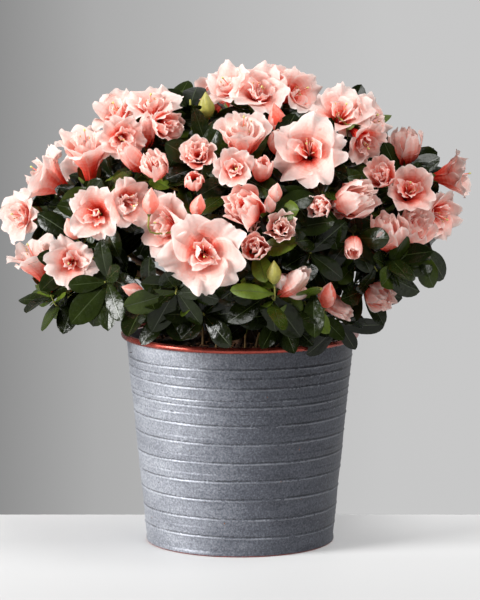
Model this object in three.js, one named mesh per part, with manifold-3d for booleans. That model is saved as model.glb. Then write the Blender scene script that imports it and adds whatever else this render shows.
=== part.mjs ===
// Potted azalea: a dwarf evergreen shrub in double bloom, in a tapered sheet-metal planter with raised
// hoops and a rolled, copper-coloured rim. Millimetres, +Z up, the front of the shrub towards -Y, and
// the origin at the middle of the planter's flat underside.
//
// The shrub is built as it grows. A short flared stem stands on the compost. Boughs fan out from it, and
// each ends where it meets one mass of foliage. A mass is one solid: a stem, twigs that branch from it to
// the flower heads and leafy shoots nearest to that mass, and the leaves and blooms fused to them.
import * as THREE from "three";
import { mergeVertices } from "three/addons/utils/BufferGeometryUtils.js";
import Module from "manifold-3d";

const wasm = await Module();
wasm.setup();

// ---- Driving dimensions: planter ----
const POT_HEIGHT = 160; // underside to the top of the rolled rim
const FOOT_RADIUS = 70.5; // outside of the wall at the underside
const MOUTH_RADIUS = 86; // outside of the wall under the rim
const SHEET = 1.0; // thickness of the metal
const RIM_RADIUS = 90; // outermost reach of the rolled rim
const ROLL_RADIUS = 2.3; // of the roll's round section
const ROLL_SIDES = 7;
const FOOT_SEAM = { height: 3.5, proud: 0.8 }; // folded seam round the foot
const HOOPS = { first: 14, pitch: 14.2, count: 10, proud: 0.8 }; // raised hoops round the wall
const POT_SEGMENTS = 30;
const GAP = 0.3; // clearance between solids that touch on the real plant
const SUNK = 1; // how deep a leaf's or a twig's root goes into what it grows from
const INTO_HEAD = 3; // how far a twig runs on into its flower head
const WELD = 0.001; // vertices closer than this count as one
const STUB = 24; // length of a mass's own stem before it branches

// ---- Driving dimensions: compost and limbs ----
const COMPOST_EDGE = 147; // height of the compost at the wall
const COMPOST_TOP = 151; // height of the flat middle that the stem stands on
const COMPOST_FLAT = 20; // radius of that middle
const COMPOST_SHOULDER = { radius: 55, over: 2.5 }; // where its slope eases, over the height at the wall
const STEM = { height: 32, rise: 3, foot: 8.5, fork: 7, lean: [3, -2], sides: 16, steps: 4 };
const FLARE = { swell: 0.35, over: 3, lobes: 4, depth: 0.3 }; // of the stem's lowest third, into its roots
const BOUGH = { foot: 3.0, tip: 2.1, sides: 6, steps: 3 };
const UPTURN = 0.25; // how far a bough's end turns up from its mass's direction
const TWIG = { stem: 1.9, tip: 0.7, taper: 0.82, straight: 9, stretch: 46, between: 6, tries: 8 };
const BEND_COST = { share: 0.7, more: 6 }; // what a full turn adds to a twig's length when one is chosen
const ROOT_FREE = 0.4; // the share of a twig's first stretch that may run close to another
const LEAST_TWIG = TWIG.tip + 0.2; // radius of the finest twig's root
const PULL = 0.36; // how far a path's handles reach, as a share of the distance it spans

// ---- Driving dimensions: crown ----
// The flower faces lie near an ellipsoid about this middle. Below the middle it is shallower.
const CROWN_MIDDLE = new THREE.Vector3(0, 0, 238);
const CROWN_REACH = { across: 165, deep: 150, up: 116, down: 82 };
const HEART = new THREE.Vector3(0, 0, 196); // the point that the masses are shared out around
const CROWN_BOX = new THREE.Box3(new THREE.Vector3(-180, -172, 136), new THREE.Vector3(184, 172, 378));
// Tiers of masses: elevation above the heart, how many, the turn of the first, and how far out of the
// heart a bough reaches before it enters its mass, as a share of the crown's reach. A tier's boughs
// leave the stem at this share of its height, at this angle above the level.
const TIERS = [
  { name: "top", elevation: 90, count: 1, turn: 0, enters: 0.5, onStem: 0.85, leaves: 90 },
  { name: "upper", elevation: 42, count: 5, turn: -90, enters: 0.44, onStem: 0.75, leaves: 58 },
  { name: "lower", elevation: 6, count: 7, turn: -64, enters: 0.42, onStem: 0.4, leaves: 30 },
];

// ---- Driving dimensions: leaves and flowers ----
const LEAF = { length: 38, width: 17, thickness: 1, widest: 0.6, ridge: 0.25, stalk: 3, sizes: [0.82, 1.15] };
// How leaves sit on a shoot: degrees from its axis, how much these vary, how far below its tip the first
// one is and how far apart the rest, how deep their roots go in, how much they droop, and how far they
// turn to the light.
const WHORL = { spread: 62, sway: 26, below: 1, apart: 1.5, sunk: 0.2, droop: 0.12, turn: 0.62 };
const HANGING = -0.6; // only shoots whose axis sinks more than this have leaves below the rim
// The way leaves face: shares of these ways against 1 to the front, which fades over these depths.
const TO_LIGHT = { up: 0.4, outward: 0.35, left: 0.1, fades: [-60, 60] };
const FITS_AT = [0.35, 0.65, 1]; // places along a leaf that are tried
const LEAF_ROOM = { share: 0.38, more: 2 }; // from the centre of a head, by its diameter
const RIM_ROOM = 3; // over the rim, where few leaves hang
const IN_VIEW = { back: 0.25, room: 0.4 }; // a small head's middle behind its face, and half its clear width
const LEAVES_PER_HEAD = 3;
const LEAVES_PER_SHOOT = 4;
const BUD_BELOW = 0.42; // heads less open than this are closed buds
const BUD_LONG = 1.9; // height of a bud, as a share of its diameter
const CUP_LIFT = 1.5; // a head that is open by this share would be flat
const FACE_AT = 0.75; // the centre of a head's face, as a share of its height
const HEAD_ROOM = 0.4; // room between two heads' centres, as a share of their diameters together
const SMALL_HEAD = 28; // heads under this diameter have no notches, and at the front no leaf hides them
const HEAD_SIZES = [1, 0.85, 0.7, 0.55]; // a crowded head takes the first of these shares that fits
const LARGE_HEAD = 45; // heads from this diameter have a rounded throat
// Profiles of heads as shares of radius and height, up the outside and back to the axis.
const BUD = [[0, 0], [1, 0.45], [0, 1]];
const CUP = [[0, 0], [1, 1], [0, 0.55]];
const ROUND_CUP = [[0, 0], [1, 1], [0.5, 0.62], [0, 0.55]];
const PETALS = 5;
const NOTCH = 0.8; // how far out the rim is between two petals

// The front elevation is set out as seen from this eye point.
const EYE = new THREE.Vector3(0, -2500, 530);
const EYE_PITCH = 7.9; // degrees that it looks down
const SEARCH = { from: -170, step: 2 }; // where along a line of sight the crown's surface is looked for
const SINK = { deepest: 60, step: 4 }; // a crowded head is set this much deeper at a time

// Flower heads of the front: how far right of the planter's axis and how high above its foot the head
// appears, its diameter, how far it is open (0 a tight bud, 1 flat), and where it faces: degrees turned
// to the right of the front, and degrees lifted.
const FRONT_HEADS = [
  // top cluster
  [-7, 343, 42, 0.75, -45, 40],
  [15, 339, 46, 0.8, 5, 40],
  [30, 347, 44, 0.9, 15, 50],
  [43, 339, 42, 0.8, 50, 25],
  // middle
  [2, 308, 43, 0.62, 0, 65],
  [-4, 281, 31, 0.7, -5, 15],
  [52, 295, 58, 1.0, -5, 20],
  [28, 304, 15, 0.35, 0, 30],
  [18, 285, 17, 0.3, 5, 30],
  [-32, 293, 29, 0.6, -5, 25],
  [-35, 274, 15, 0.35, 0, 20],
  [1, 254, 33, 0.5, -30, 25],
  [10, 241, 18, 0.5, 0, 20],
  [11, 222, 24, 0.5, -5, 15],
  [32, 237, 26, 0.55, 5, 15],
  [-28, 217, 62, 1.0, 0, 5],
  [-56, 238, 52, 0.9, -50, 10],
  // upper right
  [77, 324, 52, 0.95, 10, 40],
  [98, 319, 44, 0.9, 50, 15],
  [94, 303, 36, 0.8, 40, -30],
  [127, 305, 27, 0.43, 15, 80],
  // right
  [163, 277, 42, 0.66, 80, 10],
  [129, 265, 40, 0.66, 5, 25],
  [108, 277, 28, 0.58, -20, 30],
  [93, 260, 32, 0.45, 50, 20],
  [151, 247, 40, 0.8, 45, -5],
  [113, 237, 31, 0.5, 0, 55],
  [134, 238, 35, 0.55, 35, 35],
  [60, 253, 20, 0.5, -20, 10],
  [75, 253, 20, 0.55, 20, 10],
  // upper left
  [-67, 328, 43, 0.8, 5, 60],
  [-93, 323, 42, 0.75, -30, 45],
  [-90, 305, 36, 0.75, 5, 5],
  [-55, 315, 29, 0.55, 30, 5],
  [-87, 295, 16, 0.3, -45, 45],
  [-66, 287, 23, 0.45, -20, 40],
  // left
  [-116, 296, 52, 0.66, -10, 72],
  [-147, 275, 52, 0.7, -85, 35],
  [-166, 246, 44, 0.85, -50, 5],
  [-109, 248, 43, 0.85, -5, 10],
  [-86, 256, 40, 0.75, 25, 0],
  [-129, 210, 40, 0.85, 0, 5],
  [-156, 212, 44, 0.66, -60, 65],
  // buds
  [-130, 240, 11, 0.35, -30, 50],
  [-71, 318, 15, 0.35, 10, 75],
  [-68, 262, 11, 0.1, 20, 75],
  [27, 326, 12, 0.1, -40, 70],
  [28, 267, 9, 0.1, 20, 60],
  [22, 258, 8, 0.1, -15, 60],
  [-31, 258, 10, 0.1, 30, 60],
  [-86, 190, 10, 0.1, -60, 20],
  [-26, 335, 11, 0.1, -10, 80],
  // low, among the leaves
  [26, 207, 9.5, 0.1, -10, 80],
  [31, 196, 12, 0.1, 0, 10],
  [39, 186, 9.5, 0.1, -70, -5],
  [47, 200, 17, 0.3, 60, 40],
  [68, 190, 12, 0.1, 20, 60],
  [80, 173, 17, 0.3, 60, -25],
  [87, 218, 15, 0.35, 0, -20],
  [109, 184, 25, 0.5, 40, -10],
];

// Leafy shoots that make the front's outline, set out in the same way: right, height, turn and lift.
const FRONT_SHOOTS = [
  [-38, 334, -10, 80],
  [-141, 184, -80, -5],
  [-103, 195, -30, 0],
  [-49, 186, -10, -35],
  [-14, 190, 0, -10],
  [22, 184, 5, -35],
  [50, 178, 10, -35],
  [-58, 172, -20, 10],
  [-28, 171, -10, 20],
  [32, 171, 10, 15],
  [60, 172, 20, 10],
  [76, 162, 25, -45],
  [101, 176, 40, -20],
  [119, 205, 50, -10],
  [142, 222, 75, -5],
];
const SHOOT_SUNK = 6; // how far a front shoot's tip is behind the crown's surface
const SHOOT_ROOM = { share: 0.45, more: 5, apart: 16 }; // from a head, by its diameter, and from each other
const SEED = 4177;
// Places tried all round the crown, of which those at the front are left out: how many, how far down the
// crown they go, and how far out they are, as shares of its reach.
const SEEDED_HEADS = { count: 78, down: 1.32, out: [0.93, 1], behind: -8, upright: 0.6 };
const SEEDED_SHOOTS = { count: 56, down: 1.32, out: [0.78, 0.92], upright: 0.3 };
const OUTLINE = { heads: 0.8, shoots: 0.72 }; // the shares of the front's outline that these stay within
// The kinds of seeded head: diameters, how far open, and the draw from which a head is of that kind.
const BLOOMS = { diameter: [34, 52], open: [0.7, 1] };
const CUPS = { from: 0.62, diameter: [22, 32], open: [0.45, 0.65] };
const BUDS = { from: 0.85, diameter: [11, 17], open: [0.3, 0.3] };
const LOW = { under: -0.05, share: 0.6 }; // under this height of direction there are few heads, all buds

// ---- Small helpers ----
const radians = THREE.MathUtils.degToRad;
const lerp = THREE.MathUtils.lerp;
const vector = (x, y, z) => new THREE.Vector3(x, y, z);
const GOLDEN_ANGLE = Math.PI * (3 - Math.sqrt(5));

// A repeatable stream of numbers from 0 to 1.
function randomStream(seed) {
  let state = seed % 2147483647;
  return () => {
    state = (state * 16807) % 2147483647;
    return state / 2147483647;
  };
}

// The direction that is turned to the right of the front and lifted by these degrees.
function facing(turn, lift) {
  const flat = Math.cos(radians(lift));
  return vector(Math.sin(radians(turn)) * flat, -Math.cos(radians(turn)) * flat, Math.sin(radians(lift)));
}

// A closed manifold-3d solid from a closed three.js geometry.
function solidFrom(geometry) {
  const bare = geometry.clone();
  bare.deleteAttribute("normal");
  bare.deleteAttribute("uv");
  const merged = mergeVertices(bare, 1e-4);
  const corners = Array.from(merged.index.array);
  const kept = [];
  for (let i = 0; i < corners.length; i += 3) {
    const [a, b, c] = corners.slice(i, i + 3);
    if (a !== b && b !== c && c !== a) kept.push(a, b, c);
  }
  const mesh = new wasm.Mesh({
    numProp: 3,
    vertProperties: new Float32Array(merged.getAttribute("position").array),
    triVerts: new Uint32Array(kept),
  });
  mesh.merge();
  return new wasm.Manifold(mesh);
}

function geometryFrom(solid) {
  const mesh = solid.getMesh();
  return new THREE.BufferGeometry()
    .setAttribute("position", new THREE.BufferAttribute(new Float32Array(mesh.vertProperties), 3))
    .setIndex(new THREE.BufferAttribute(new Uint32Array(mesh.triVerts), 1))
    .toNonIndexed();
}

// The largest body of a solid. Loose scraps are dropped.
function mainBody(solid) {
  return solid.decompose().reduce((best, body) => (body.volume() > best.volume() ? body : best));
}

// Whether a solid stays closed, with two faces at each edge, when vertices closer than WELD are merged.
function isSound(solid) {
  const { vertProperties, triVerts } = solid.getMesh();
  const keys = new Map();
  const corner = Array.from({ length: vertProperties.length / 3 }, (_, i) => {
    const key = Array.from(vertProperties.slice(3 * i, 3 * i + 3), (v) => Math.round(v / WELD)).join();
    if (!keys.has(key)) keys.set(key, keys.size);
    return keys.get(key);
  });
  const edges = new Map();
  for (let i = 0; i < triVerts.length; i += 3) {
    const [a, b, c] = [0, 1, 2].map((k) => corner[triVerts[i + k]]);
    if (a === b || b === c || c === a) continue;
    for (const [from, to] of [[a, b], [b, c], [c, a]]) {
      const key = from < to ? `${from} ${to}` : `${to} ${from}`;
      edges.set(key, (edges.get(key) ?? 0) + 1);
    }
  }
  return [...edges.values()].every((faces) => faces === 2);
}

const touches = (solid, others) => others.some((other) => !solid.intersect(other).isEmpty());

// Fuses a solid to a mass, and says whether it could: not where the joint would be an unsound one. The
// spare vertices that a joint leaves on flat faces are taken out.
function fuse(mass, solid) {
  const joined = mass.solid.add(solid).asOriginal().simplify(WELD);
  const sound = isSound(joined);
  if (sound) mass.solid = joined;
  return sound;
}

// Moves every vertex of a geometry to place(vertex).
function reshape(geometry, place) {
  const at = geometry.getAttribute("position");
  const vertex = vector(0, 0, 0);
  for (let i = 0; i < at.count; i++) {
    vertex.fromBufferAttribute(at, i);
    const moved = place(vertex);
    at.setXYZ(i, moved.x, moved.y, moved.z);
  }
  return geometry;
}

// A lathe about Z from a profile of [radius, height] pairs that runs up the outside and back inside.
function turned(profile, segments) {
  const points = profile.map(([radius, height]) => new THREE.Vector2(radius, height));
  return new THREE.LatheGeometry(points, segments).rotateX(Math.PI / 2);
}

// ---- Planter and compost ----
const WALL_TOP = POT_HEIGHT - 2 * ROLL_RADIUS + GAP; // the sheet ends against the roll
const wallRadius = (height) => lerp(FOOT_RADIUS, MOUTH_RADIUS, height / WALL_TOP);

function planterBody() {
  const seamRadius = FOOT_RADIUS + FOOT_SEAM.proud;
  const outside = [
    [0, 0],
    [seamRadius, 0],
    [seamRadius, FOOT_SEAM.height],
    [wallRadius(FOOT_SEAM.height + FOOT_SEAM.proud), FOOT_SEAM.height + FOOT_SEAM.proud],
  ];
  for (let hoop = 0; hoop < HOOPS.count; hoop++) {
    const height = HOOPS.first + hoop * HOOPS.pitch;
    outside.push([wallRadius(height) + HOOPS.proud, height]);
    const between = Math.min(height + HOOPS.pitch / 2, WALL_TOP - ROLL_RADIUS);
    outside.push([wallRadius(between), between]);
  }
  const inside = [
    [wallRadius(WALL_TOP) - SHEET, WALL_TOP],
    [wallRadius(SHEET) - SHEET, SHEET],
    [0, SHEET],
  ];
  return turned([...outside, [wallRadius(WALL_TOP), WALL_TOP], ...inside], POT_SEGMENTS);
}

function planterRim() {
  const profile = [];
  for (let side = 0; side <= ROLL_SIDES; side++) {
    const angle = ((side % ROLL_SIDES) / ROLL_SIDES) * 2 * Math.PI;
    const radius = RIM_RADIUS - ROLL_RADIUS + ROLL_RADIUS * Math.cos(angle);
    profile.push([radius, POT_HEIGHT - ROLL_RADIUS + ROLL_RADIUS * Math.sin(angle)]);
  }
  return turned(profile, POT_SEGMENTS);
}

function compost() {
  const clear = SHEET + GAP;
  // The wall's facets cut inside its true circle, so the compost keeps clear of their middles.
  const facet = Math.cos(Math.PI / POT_SEGMENTS);
  const fill = (height) => (wallRadius(height) - clear) * facet;
  return turned(
    [
      [0, clear],
      [fill(clear), clear],
      [fill(COMPOST_EDGE), COMPOST_EDGE],
      [COMPOST_SHOULDER.radius, COMPOST_EDGE + COMPOST_SHOULDER.over],
      [COMPOST_FLAT, COMPOST_TOP],
      [0, COMPOST_TOP],
    ],
    POT_SEGMENTS,
  );
}

// ---- Limbs ----
// A limb through a row of points. radiusAt gives its radius at a share of its steps and an angle round it.
// Its rings lie square to the row of points, or all square to one direction where that is given.
function tube(points, radiusAt, sides, direction = null) {
  const steps = points.length - 1;
  const rings = points.map((at, i) => {
    const onward = points[Math.min(i + 1, steps)].clone().sub(points[Math.max(i - 1, 0)]);
    return { at, along: direction ?? onward.normalize() };
  });
  let normal = Math.abs(rings[0].along.z) < 0.9 ? vector(0, 0, 1) : vector(1, 0, 0);
  for (const ring of rings) {
    normal = normal.clone().addScaledVector(ring.along, -normal.dot(ring.along)).normalize();
    ring.normal = normal;
    ring.binormal = ring.along.clone().cross(normal);
  }
  return reshape(new THREE.CylinderGeometry(1, 1, 1, sides, steps), (vertex) => {
    const step = Math.round((vertex.y + 0.5) * steps);
    const radius = radiusAt(step / steps, Math.atan2(vertex.z, vertex.x));
    const { at, normal, binormal } = rings[step];
    const out = normal.clone().multiplyScalar(vertex.x).addScaledVector(binormal, -vertex.z);
    return at.clone().addScaledVector(out, radius);
  });
}

// A smooth path that leaves one point along one direction and reaches another along another.
function path(from, leaving, to, arriving) {
  const reach = from.distanceTo(to) * PULL;
  return new THREE.CubicBezierCurve3(
    from,
    from.clone().addScaledVector(leaving, reach),
    to.clone().addScaledVector(arriving, -reach),
    to,
  );
}

// The stem rises straight for a few millimetres from its flat cut, and then leans.
const STEM_FOOT = vector(0, 0, COMPOST_TOP + GAP);
const STEM_RISE = STEM_FOOT.clone().add(vector(0, 0, STEM.rise));
const STEM_FORK = vector(...STEM.lean, COMPOST_TOP + GAP + STEM.height);
const STEM_PATH = path(STEM_RISE, vector(0, 0, 1), STEM_FORK, vector(0, 0, 1));

// The short main stem, with its root flare in a few lobes. extra thickens and heightens it, to cut the
// boughs clear of it.
function mainStem(extra = 0) {
  const points = [STEM_FOOT, ...STEM_PATH.getSpacedPoints(STEM.steps - 1)];
  points[STEM.steps] = STEM_FORK.clone().add(vector(0, 0, extra));
  return tube(
    points,
    (t, angle) => {
      const flare = Math.max(0, 1 - FLARE.over * t) ** 2;
      const lobes = 1 + FLARE.depth * flare * Math.cos(FLARE.lobes * angle);
      return lerp(STEM.foot, STEM.fork, t) * (1 + FLARE.swell * flare) * lobes + extra;
    },
    STEM.sides,
  );
}

function reachOf(direction) {
  const { across, deep, up, down } = CROWN_REACH;
  return vector(direction.x * across, direction.y * deep, direction.z * (direction.z > 0 ? up : down));
}

// Each mass has a bough. The lowest tier's boughs leave low on the stem, and the top one ends it.
function planMasses() {
  const masses = [];
  for (const tier of TIERS) {
    for (let i = 0; i < tier.count; i++) {
      const turn = tier.turn + (360 / tier.count) * i;
      const direction = facing(turn, tier.elevation);
      const entry = HEART.clone().add(reachOf(direction).multiplyScalar(tier.enters));
      masses.push({
        name: tier.count > 1 ? `${tier.name}_${i + 1}` : tier.name,
        direction,
        entry,
        foot: STEM_PATH.getPointAt(tier.onStem),
        outward: facing(turn, tier.leaves),
        arriving: direction.clone().lerp(vector(0, 0, 1), UPTURN).normalize(),
        shoots: [],
      });
    }
  }
  return masses;
}

function boughCurve(mass) {
  return path(mass.foot, mass.outward, mass.entry, mass.arriving);
}

function boughSolid(mass, extra = 0) {
  const thickness = (t) => lerp(BOUGH.foot, BOUGH.tip, t) + extra;
  return solidFrom(tube(boughCurve(mass).getSpacedPoints(BOUGH.steps), thickness, BOUGH.sides));
}

// ---- Where the flower heads and leafy shoots are ----
// How far out a point is, as a share of the crown's reach in its direction.
function depthInCrown(point) {
  const { across, deep, up, down } = CROWN_REACH;
  const off = point.clone().sub(CROWN_MIDDLE);
  return Math.hypot(off.x / across, off.y / deep, off.z / (off.z > 0 ? up : down));
}

// The point at this place in the front elevation where the line of sight first meets the crown's
// surface, or comes nearest to it, and then a little further in.
function onFront(across, height, sunk = 0) {
  const pitch = radians(EYE_PITCH);
  const seen = vector(across, height * Math.sin(pitch), height * Math.cos(pitch));
  const sight = seen.sub(EYE);
  let best = null;
  for (let deep = SEARCH.from; deep <= 0; deep += SEARCH.step) {
    const point = EYE.clone().addScaledVector(sight, (deep + sunk - EYE.y) / sight.y);
    const depth = depthInCrown(point);
    if (!best || depth < best.depth) best = { point, depth };
    if (depth <= 1) return point;
  }
  return best.point;
}

// A head: centre of its face, the way it faces, and foot, where its stalk begins.
function makeHead(centre, axis, diameter, open) {
  const height = headHeight(diameter, open);
  const foot = centre.clone().addScaledVector(axis, -height * FACE_AT);
  return { centre, axis, diameter, open, height, foot };
}

// Height of a head from its foot to its rim: the more it opens, the wider and flatter it is.
function headHeight(diameter, open) {
  return open < BUD_BELOW ? diameter * BUD_LONG : diameter * (CUP_LIFT - open);
}

function tooClose(head, others) {
  return others.some((other) => {
    const room = HEAD_ROOM * (head.diameter + other.diameter);
    return head.centre.distanceTo(other.centre) < room;
  });
}

function frontHeads() {
  const heads = [];
  for (const [across, height, diameter, open, turn, lift] of FRONT_HEADS) {
    let head = null;
    for (let sunk = 0; sunk <= SINK.deepest; sunk += SINK.step) {
      head = makeHead(onFront(across, height, sunk), facing(turn, lift), diameter, open);
      if (!tooClose(head, heads)) break;
    }
    heads.push({ ...head, shown: diameter < SMALL_HEAD });
  }
  return heads;
}

// The i-th of count even directions over the crown, from its top down to a little under its middle.
function spreadDirection(i, { count, down }) {
  const z = 1 - (down * (i + 0.5)) / count;
  const flat = Math.sqrt(1 - z * z);
  return vector(flat * Math.cos(i * GOLDEN_ANGLE), flat * Math.sin(i * GOLDEN_ANGLE), z);
}

// A point off the crown's middle, drawn in to stay within this share of its outline from the front.
function withinOutline(off, limit) {
  const { across, up, down } = CROWN_REACH;
  const edge = Math.hypot(off.x / across, off.z / (off.z > 0 ? up : down));
  const share = Math.min(1, limit / edge);
  return vector(off.x * share, off.y, off.z * share);
}

// Heads for the sides and the back, in the same mixture as the front.
function seededHeads(heads) {
  const random = randomStream(SEED);
  const made = [...heads];
  for (let i = 0; i < SEEDED_HEADS.count; i++) {
    const direction = spreadDirection(i, SEEDED_HEADS);
    const [draw, size, sway, share] = [random(), random(), random(), random()];
    const low = direction.z < LOW.under;
    if (low && share < LOW.share) continue;
    const larger = draw > CUPS.from ? CUPS : BLOOMS;
    const kind = low || draw > BUDS.from ? BUDS : larger;
    const off = reachOf(direction).multiplyScalar(lerp(...SEEDED_HEADS.out, sway));
    const nod = vector(sway - 0.5, size - 0.5, draw * SEEDED_HEADS.upright);
    const axis = direction.clone().add(nod).normalize();
    const centre = CROWN_MIDDLE.clone().add(withinOutline(off, OUTLINE.heads));
    const head = makeHead(centre, axis, lerp(...kind.diameter, size), lerp(...kind.open, share));
    if (centre.y > SEEDED_HEADS.behind && !tooClose(head, made)) made.push(head);
  }
  return made;
}

function leafyShoots(heads) {
  const shoots = [];
  const add = (tip, axis) => {
    const room = (head) => SHOOT_ROOM.share * head.diameter + SHOOT_ROOM.more;
    const inHead = heads.some((head) => tip.distanceTo(head.centre) < room(head));
    const crowded = shoots.some((shoot) => tip.distanceTo(shoot.foot) < SHOOT_ROOM.apart);
    if (!inHead && !crowded) shoots.push({ foot: tip, axis });
  };
  for (const [across, height, turn, lift] of FRONT_SHOOTS) {
    add(onFront(across, height, SHOOT_SUNK), facing(turn, lift));
  }
  const random = randomStream(SEED + 1);
  for (let i = 0; i < SEEDED_SHOOTS.count; i++) {
    const direction = spreadDirection(i, SEEDED_SHOOTS);
    const off = reachOf(direction).multiplyScalar(lerp(...SEEDED_SHOOTS.out, random()));
    const tip = CROWN_MIDDLE.clone().add(withinOutline(off, OUTLINE.shoots));
    const upright = SEEDED_SHOOTS.upright * random();
    add(tip, direction.clone().lerp(vector(0, 0, 1), upright).normalize());
  }
  return shoots;
}

// ---- Leaves and flowers ----
// The way leaves turn their faces: up, outward, and to the front of the plant where they grow there.
function lightSide(place) {
  const outward = place.clone().sub(HEART).normalize();
  const front = 1 - THREE.MathUtils.smoothstep(place.y, ...TO_LIGHT.fades);
  const way = vector(-TO_LIGHT.left * front, -front, TO_LIGHT.up);
  return way.addScaledVector(outward, TO_LIGHT.outward).normalize();
}

// The whorl of leaves under a head or round a shoot's tip, with the numbers that shape each.
function whorl(shoot, index, count) {
  const random = randomStream(SEED + 101 * (index + 1));
  const side = vector(0, 0, 1).cross(shoot.axis);
  if (side.length() < 0.1) side.set(1, 0, 0);
  side.normalize();
  const other = shoot.axis.clone().cross(side);
  const start = random() * 2 * Math.PI;
  const leaves = [];
  for (let i = 0; i < count; i++) {
    const angle = start + i * GOLDEN_ANGLE;
    const spread = radians(WHORL.spread + WHORL.sway * (random() - 0.5));
    const around = side.clone().multiplyScalar(Math.cos(angle)).addScaledVector(other, Math.sin(angle));
    const way = shoot.axis.clone().multiplyScalar(Math.cos(spread)).addScaledVector(around, Math.sin(spread));
    way.z -= WHORL.droop;
    way.normalize();
    const root = shoot.foot.clone().addScaledVector(shoot.axis, -WHORL.below - WHORL.apart * i);
    root.addScaledVector(way, -WHORL.sunk);
    const inWhorl = shoot.axis.clone().addScaledVector(way, -shoot.axis.dot(way)).normalize();
    const face = inWhorl.lerp(lightSide(root), WHORL.turn);
    face.addScaledVector(way, -face.dot(way)).normalize();
    const size = lerp(...LEAF.sizes, random());
    leaves.push({ root, way, face, length: LEAF.length * size, width: LEAF.width * size });
  }
  return leaves;
}

// A leaf is a flattened octahedron: root, tip, two edges at its widest, and a ridge on its two faces.
// extra thickens it all round, to test that it keeps clear of its neighbours.
function leafSolid(leaf, extra = 0) {
  const side = leaf.way.clone().cross(leaf.face);
  const geometry = reshape(new THREE.OctahedronGeometry(1, 0), (vertex) => {
    const middle = Math.abs(vertex.x) > 0.5 ? LEAF.widest : LEAF.ridge;
    const along = Math.abs(vertex.y) > 0.5 ? (1 + vertex.y) / 2 : middle;
    return leaf.root
      .clone()
      .addScaledVector(leaf.way, along * leaf.length + extra * vertex.y)
      .addScaledVector(side, vertex.x * (leaf.width / 2 + extra))
      .addScaledVector(leaf.face, vertex.z * (LEAF.thickness / 2 + extra));
  });
  return solidFrom(geometry);
}

// A head as one solid: a closed bud, or a funnel of five petals with a hollow throat. size shrinks it
// towards its foot.
function headSolid(head, size = 1, extra = 0) {
  const radius = (head.diameter * size) / 2 + extra;
  const bud = head.open < BUD_BELOW;
  const notched = !bud && head.diameter >= SMALL_HEAD;
  const cup = head.diameter >= LARGE_HEAD ? ROUND_CUP : CUP;
  const shape = turned(bud ? BUD : cup, notched ? 2 * PETALS : PETALS);
  const foot = head.centre.clone().addScaledVector(head.axis, -head.height * FACE_AT - extra);
  const turn = new THREE.Quaternion().setFromUnitVectors(vector(0, 0, 1), head.axis);
  return solidFrom(
    reshape(shape, (vertex) => {
      const angle = Math.atan2(vertex.y, vertex.x);
      const onRim = Math.hypot(vertex.x, vertex.y) > NOTCH;
      const wave = (1 + Math.cos(PETALS * (angle + Math.PI / 2))) / 2;
      const lobe = notched && onRim ? lerp(NOTCH, 1, wave) : 1;
      const local = vector(vertex.x * radius, vertex.y * radius, vertex.z * (head.height * size + extra));
      local.multiplyScalar(lobe);
      return local.applyQuaternion(turn).add(foot);
    }),
  );
}

// The part of a leaf beyond its root, which has to stand free of everything.
function bladeOf(leaf) {
  const stalk = WHORL.sunk + LEAF.stalk;
  return { ...leaf, root: leaf.root.clone().addScaledVector(leaf.way, stalk), length: leaf.length - stalk };
}

// Whether a point stands between the eye point and a head.
function hides(point, head) {
  const middle = head.centre.clone().addScaledVector(head.axis, -IN_VIEW.back * head.height);
  const away = middle.distanceTo(EYE);
  const sight = middle.sub(EYE).normalize();
  const off = point.clone().sub(EYE);
  const along = off.dot(sight);
  const aside = off.addScaledVector(sight, -along).length();
  return along < away && aside < IN_VIEW.room * Math.max(head.diameter, head.height);
}

// A leaf is left out where it would leave the crown, lie in a flower's face, hide a small head of the
// front or hide the rim.
function leafFits(leaf, heads, own) {
  return FITS_AT.every((share) => {
    const point = leaf.root.clone().addScaledVector(leaf.way, leaf.length * share);
    const room = (head) => LEAF_ROOM.share * head.diameter + LEAF_ROOM.more;
    const open = heads.every((head) => head === own || point.distanceTo(head.centre) > room(head));
    const hidden = heads.some((head) => head.shown && hides(point, head));
    const overRim = point.z < POT_HEIGHT + RIM_ROOM && Math.hypot(point.x, point.y) > MOUTH_RADIUS;
    return open && !hidden && CROWN_BOX.containsPoint(point) && !(overRim && own.axis.z > HANGING);
  });
}

// ---- Growing a mass ----
// The shortest distance between the stretches from a to b and from c to d.
function distanceBetween(a, b, c, d) {
  const [ab, cd, ca] = [b.clone().sub(a), d.clone().sub(c), a.clone().sub(c)];
  const [lengthAB, lengthCD, both] = [ab.lengthSq(), cd.lengthSq(), ab.dot(cd)];
  const square = lengthAB * lengthCD - both * both;
  const clamp = THREE.MathUtils.clamp;
  let onAB = square > 1e-9 ? clamp((both * cd.dot(ca) - ab.dot(ca) * lengthCD) / square, 0, 1) : 0;
  const onCD = clamp((both * onAB + cd.dot(ca)) / lengthCD, 0, 1);
  onAB = clamp((both * onCD - ab.dot(ca)) / lengthAB, 0, 1);
  return a.clone().addScaledVector(ab, onAB).distanceTo(c.clone().addScaledVector(cd, onCD));
}

// Whether a row of points, past its root, keeps its distance from every stretch of the others.
function runsClear(points, radius, stretches) {
  for (let i = 0; i < points.length - 1; i++) {
    const from = i === 0 ? points[0].clone().lerp(points[1], ROOT_FREE) : points[i];
    const near = (s) => distanceBetween(from, points[i + 1], s.from, s.to) < radius + s.radius + GAP;
    if (stretches.some(near)) return false;
  }
  return true;
}

function stretchesOf(points, radius) {
  return points.slice(1).map((to, i) => ({ from: points[i], to, radius }));
}

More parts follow.
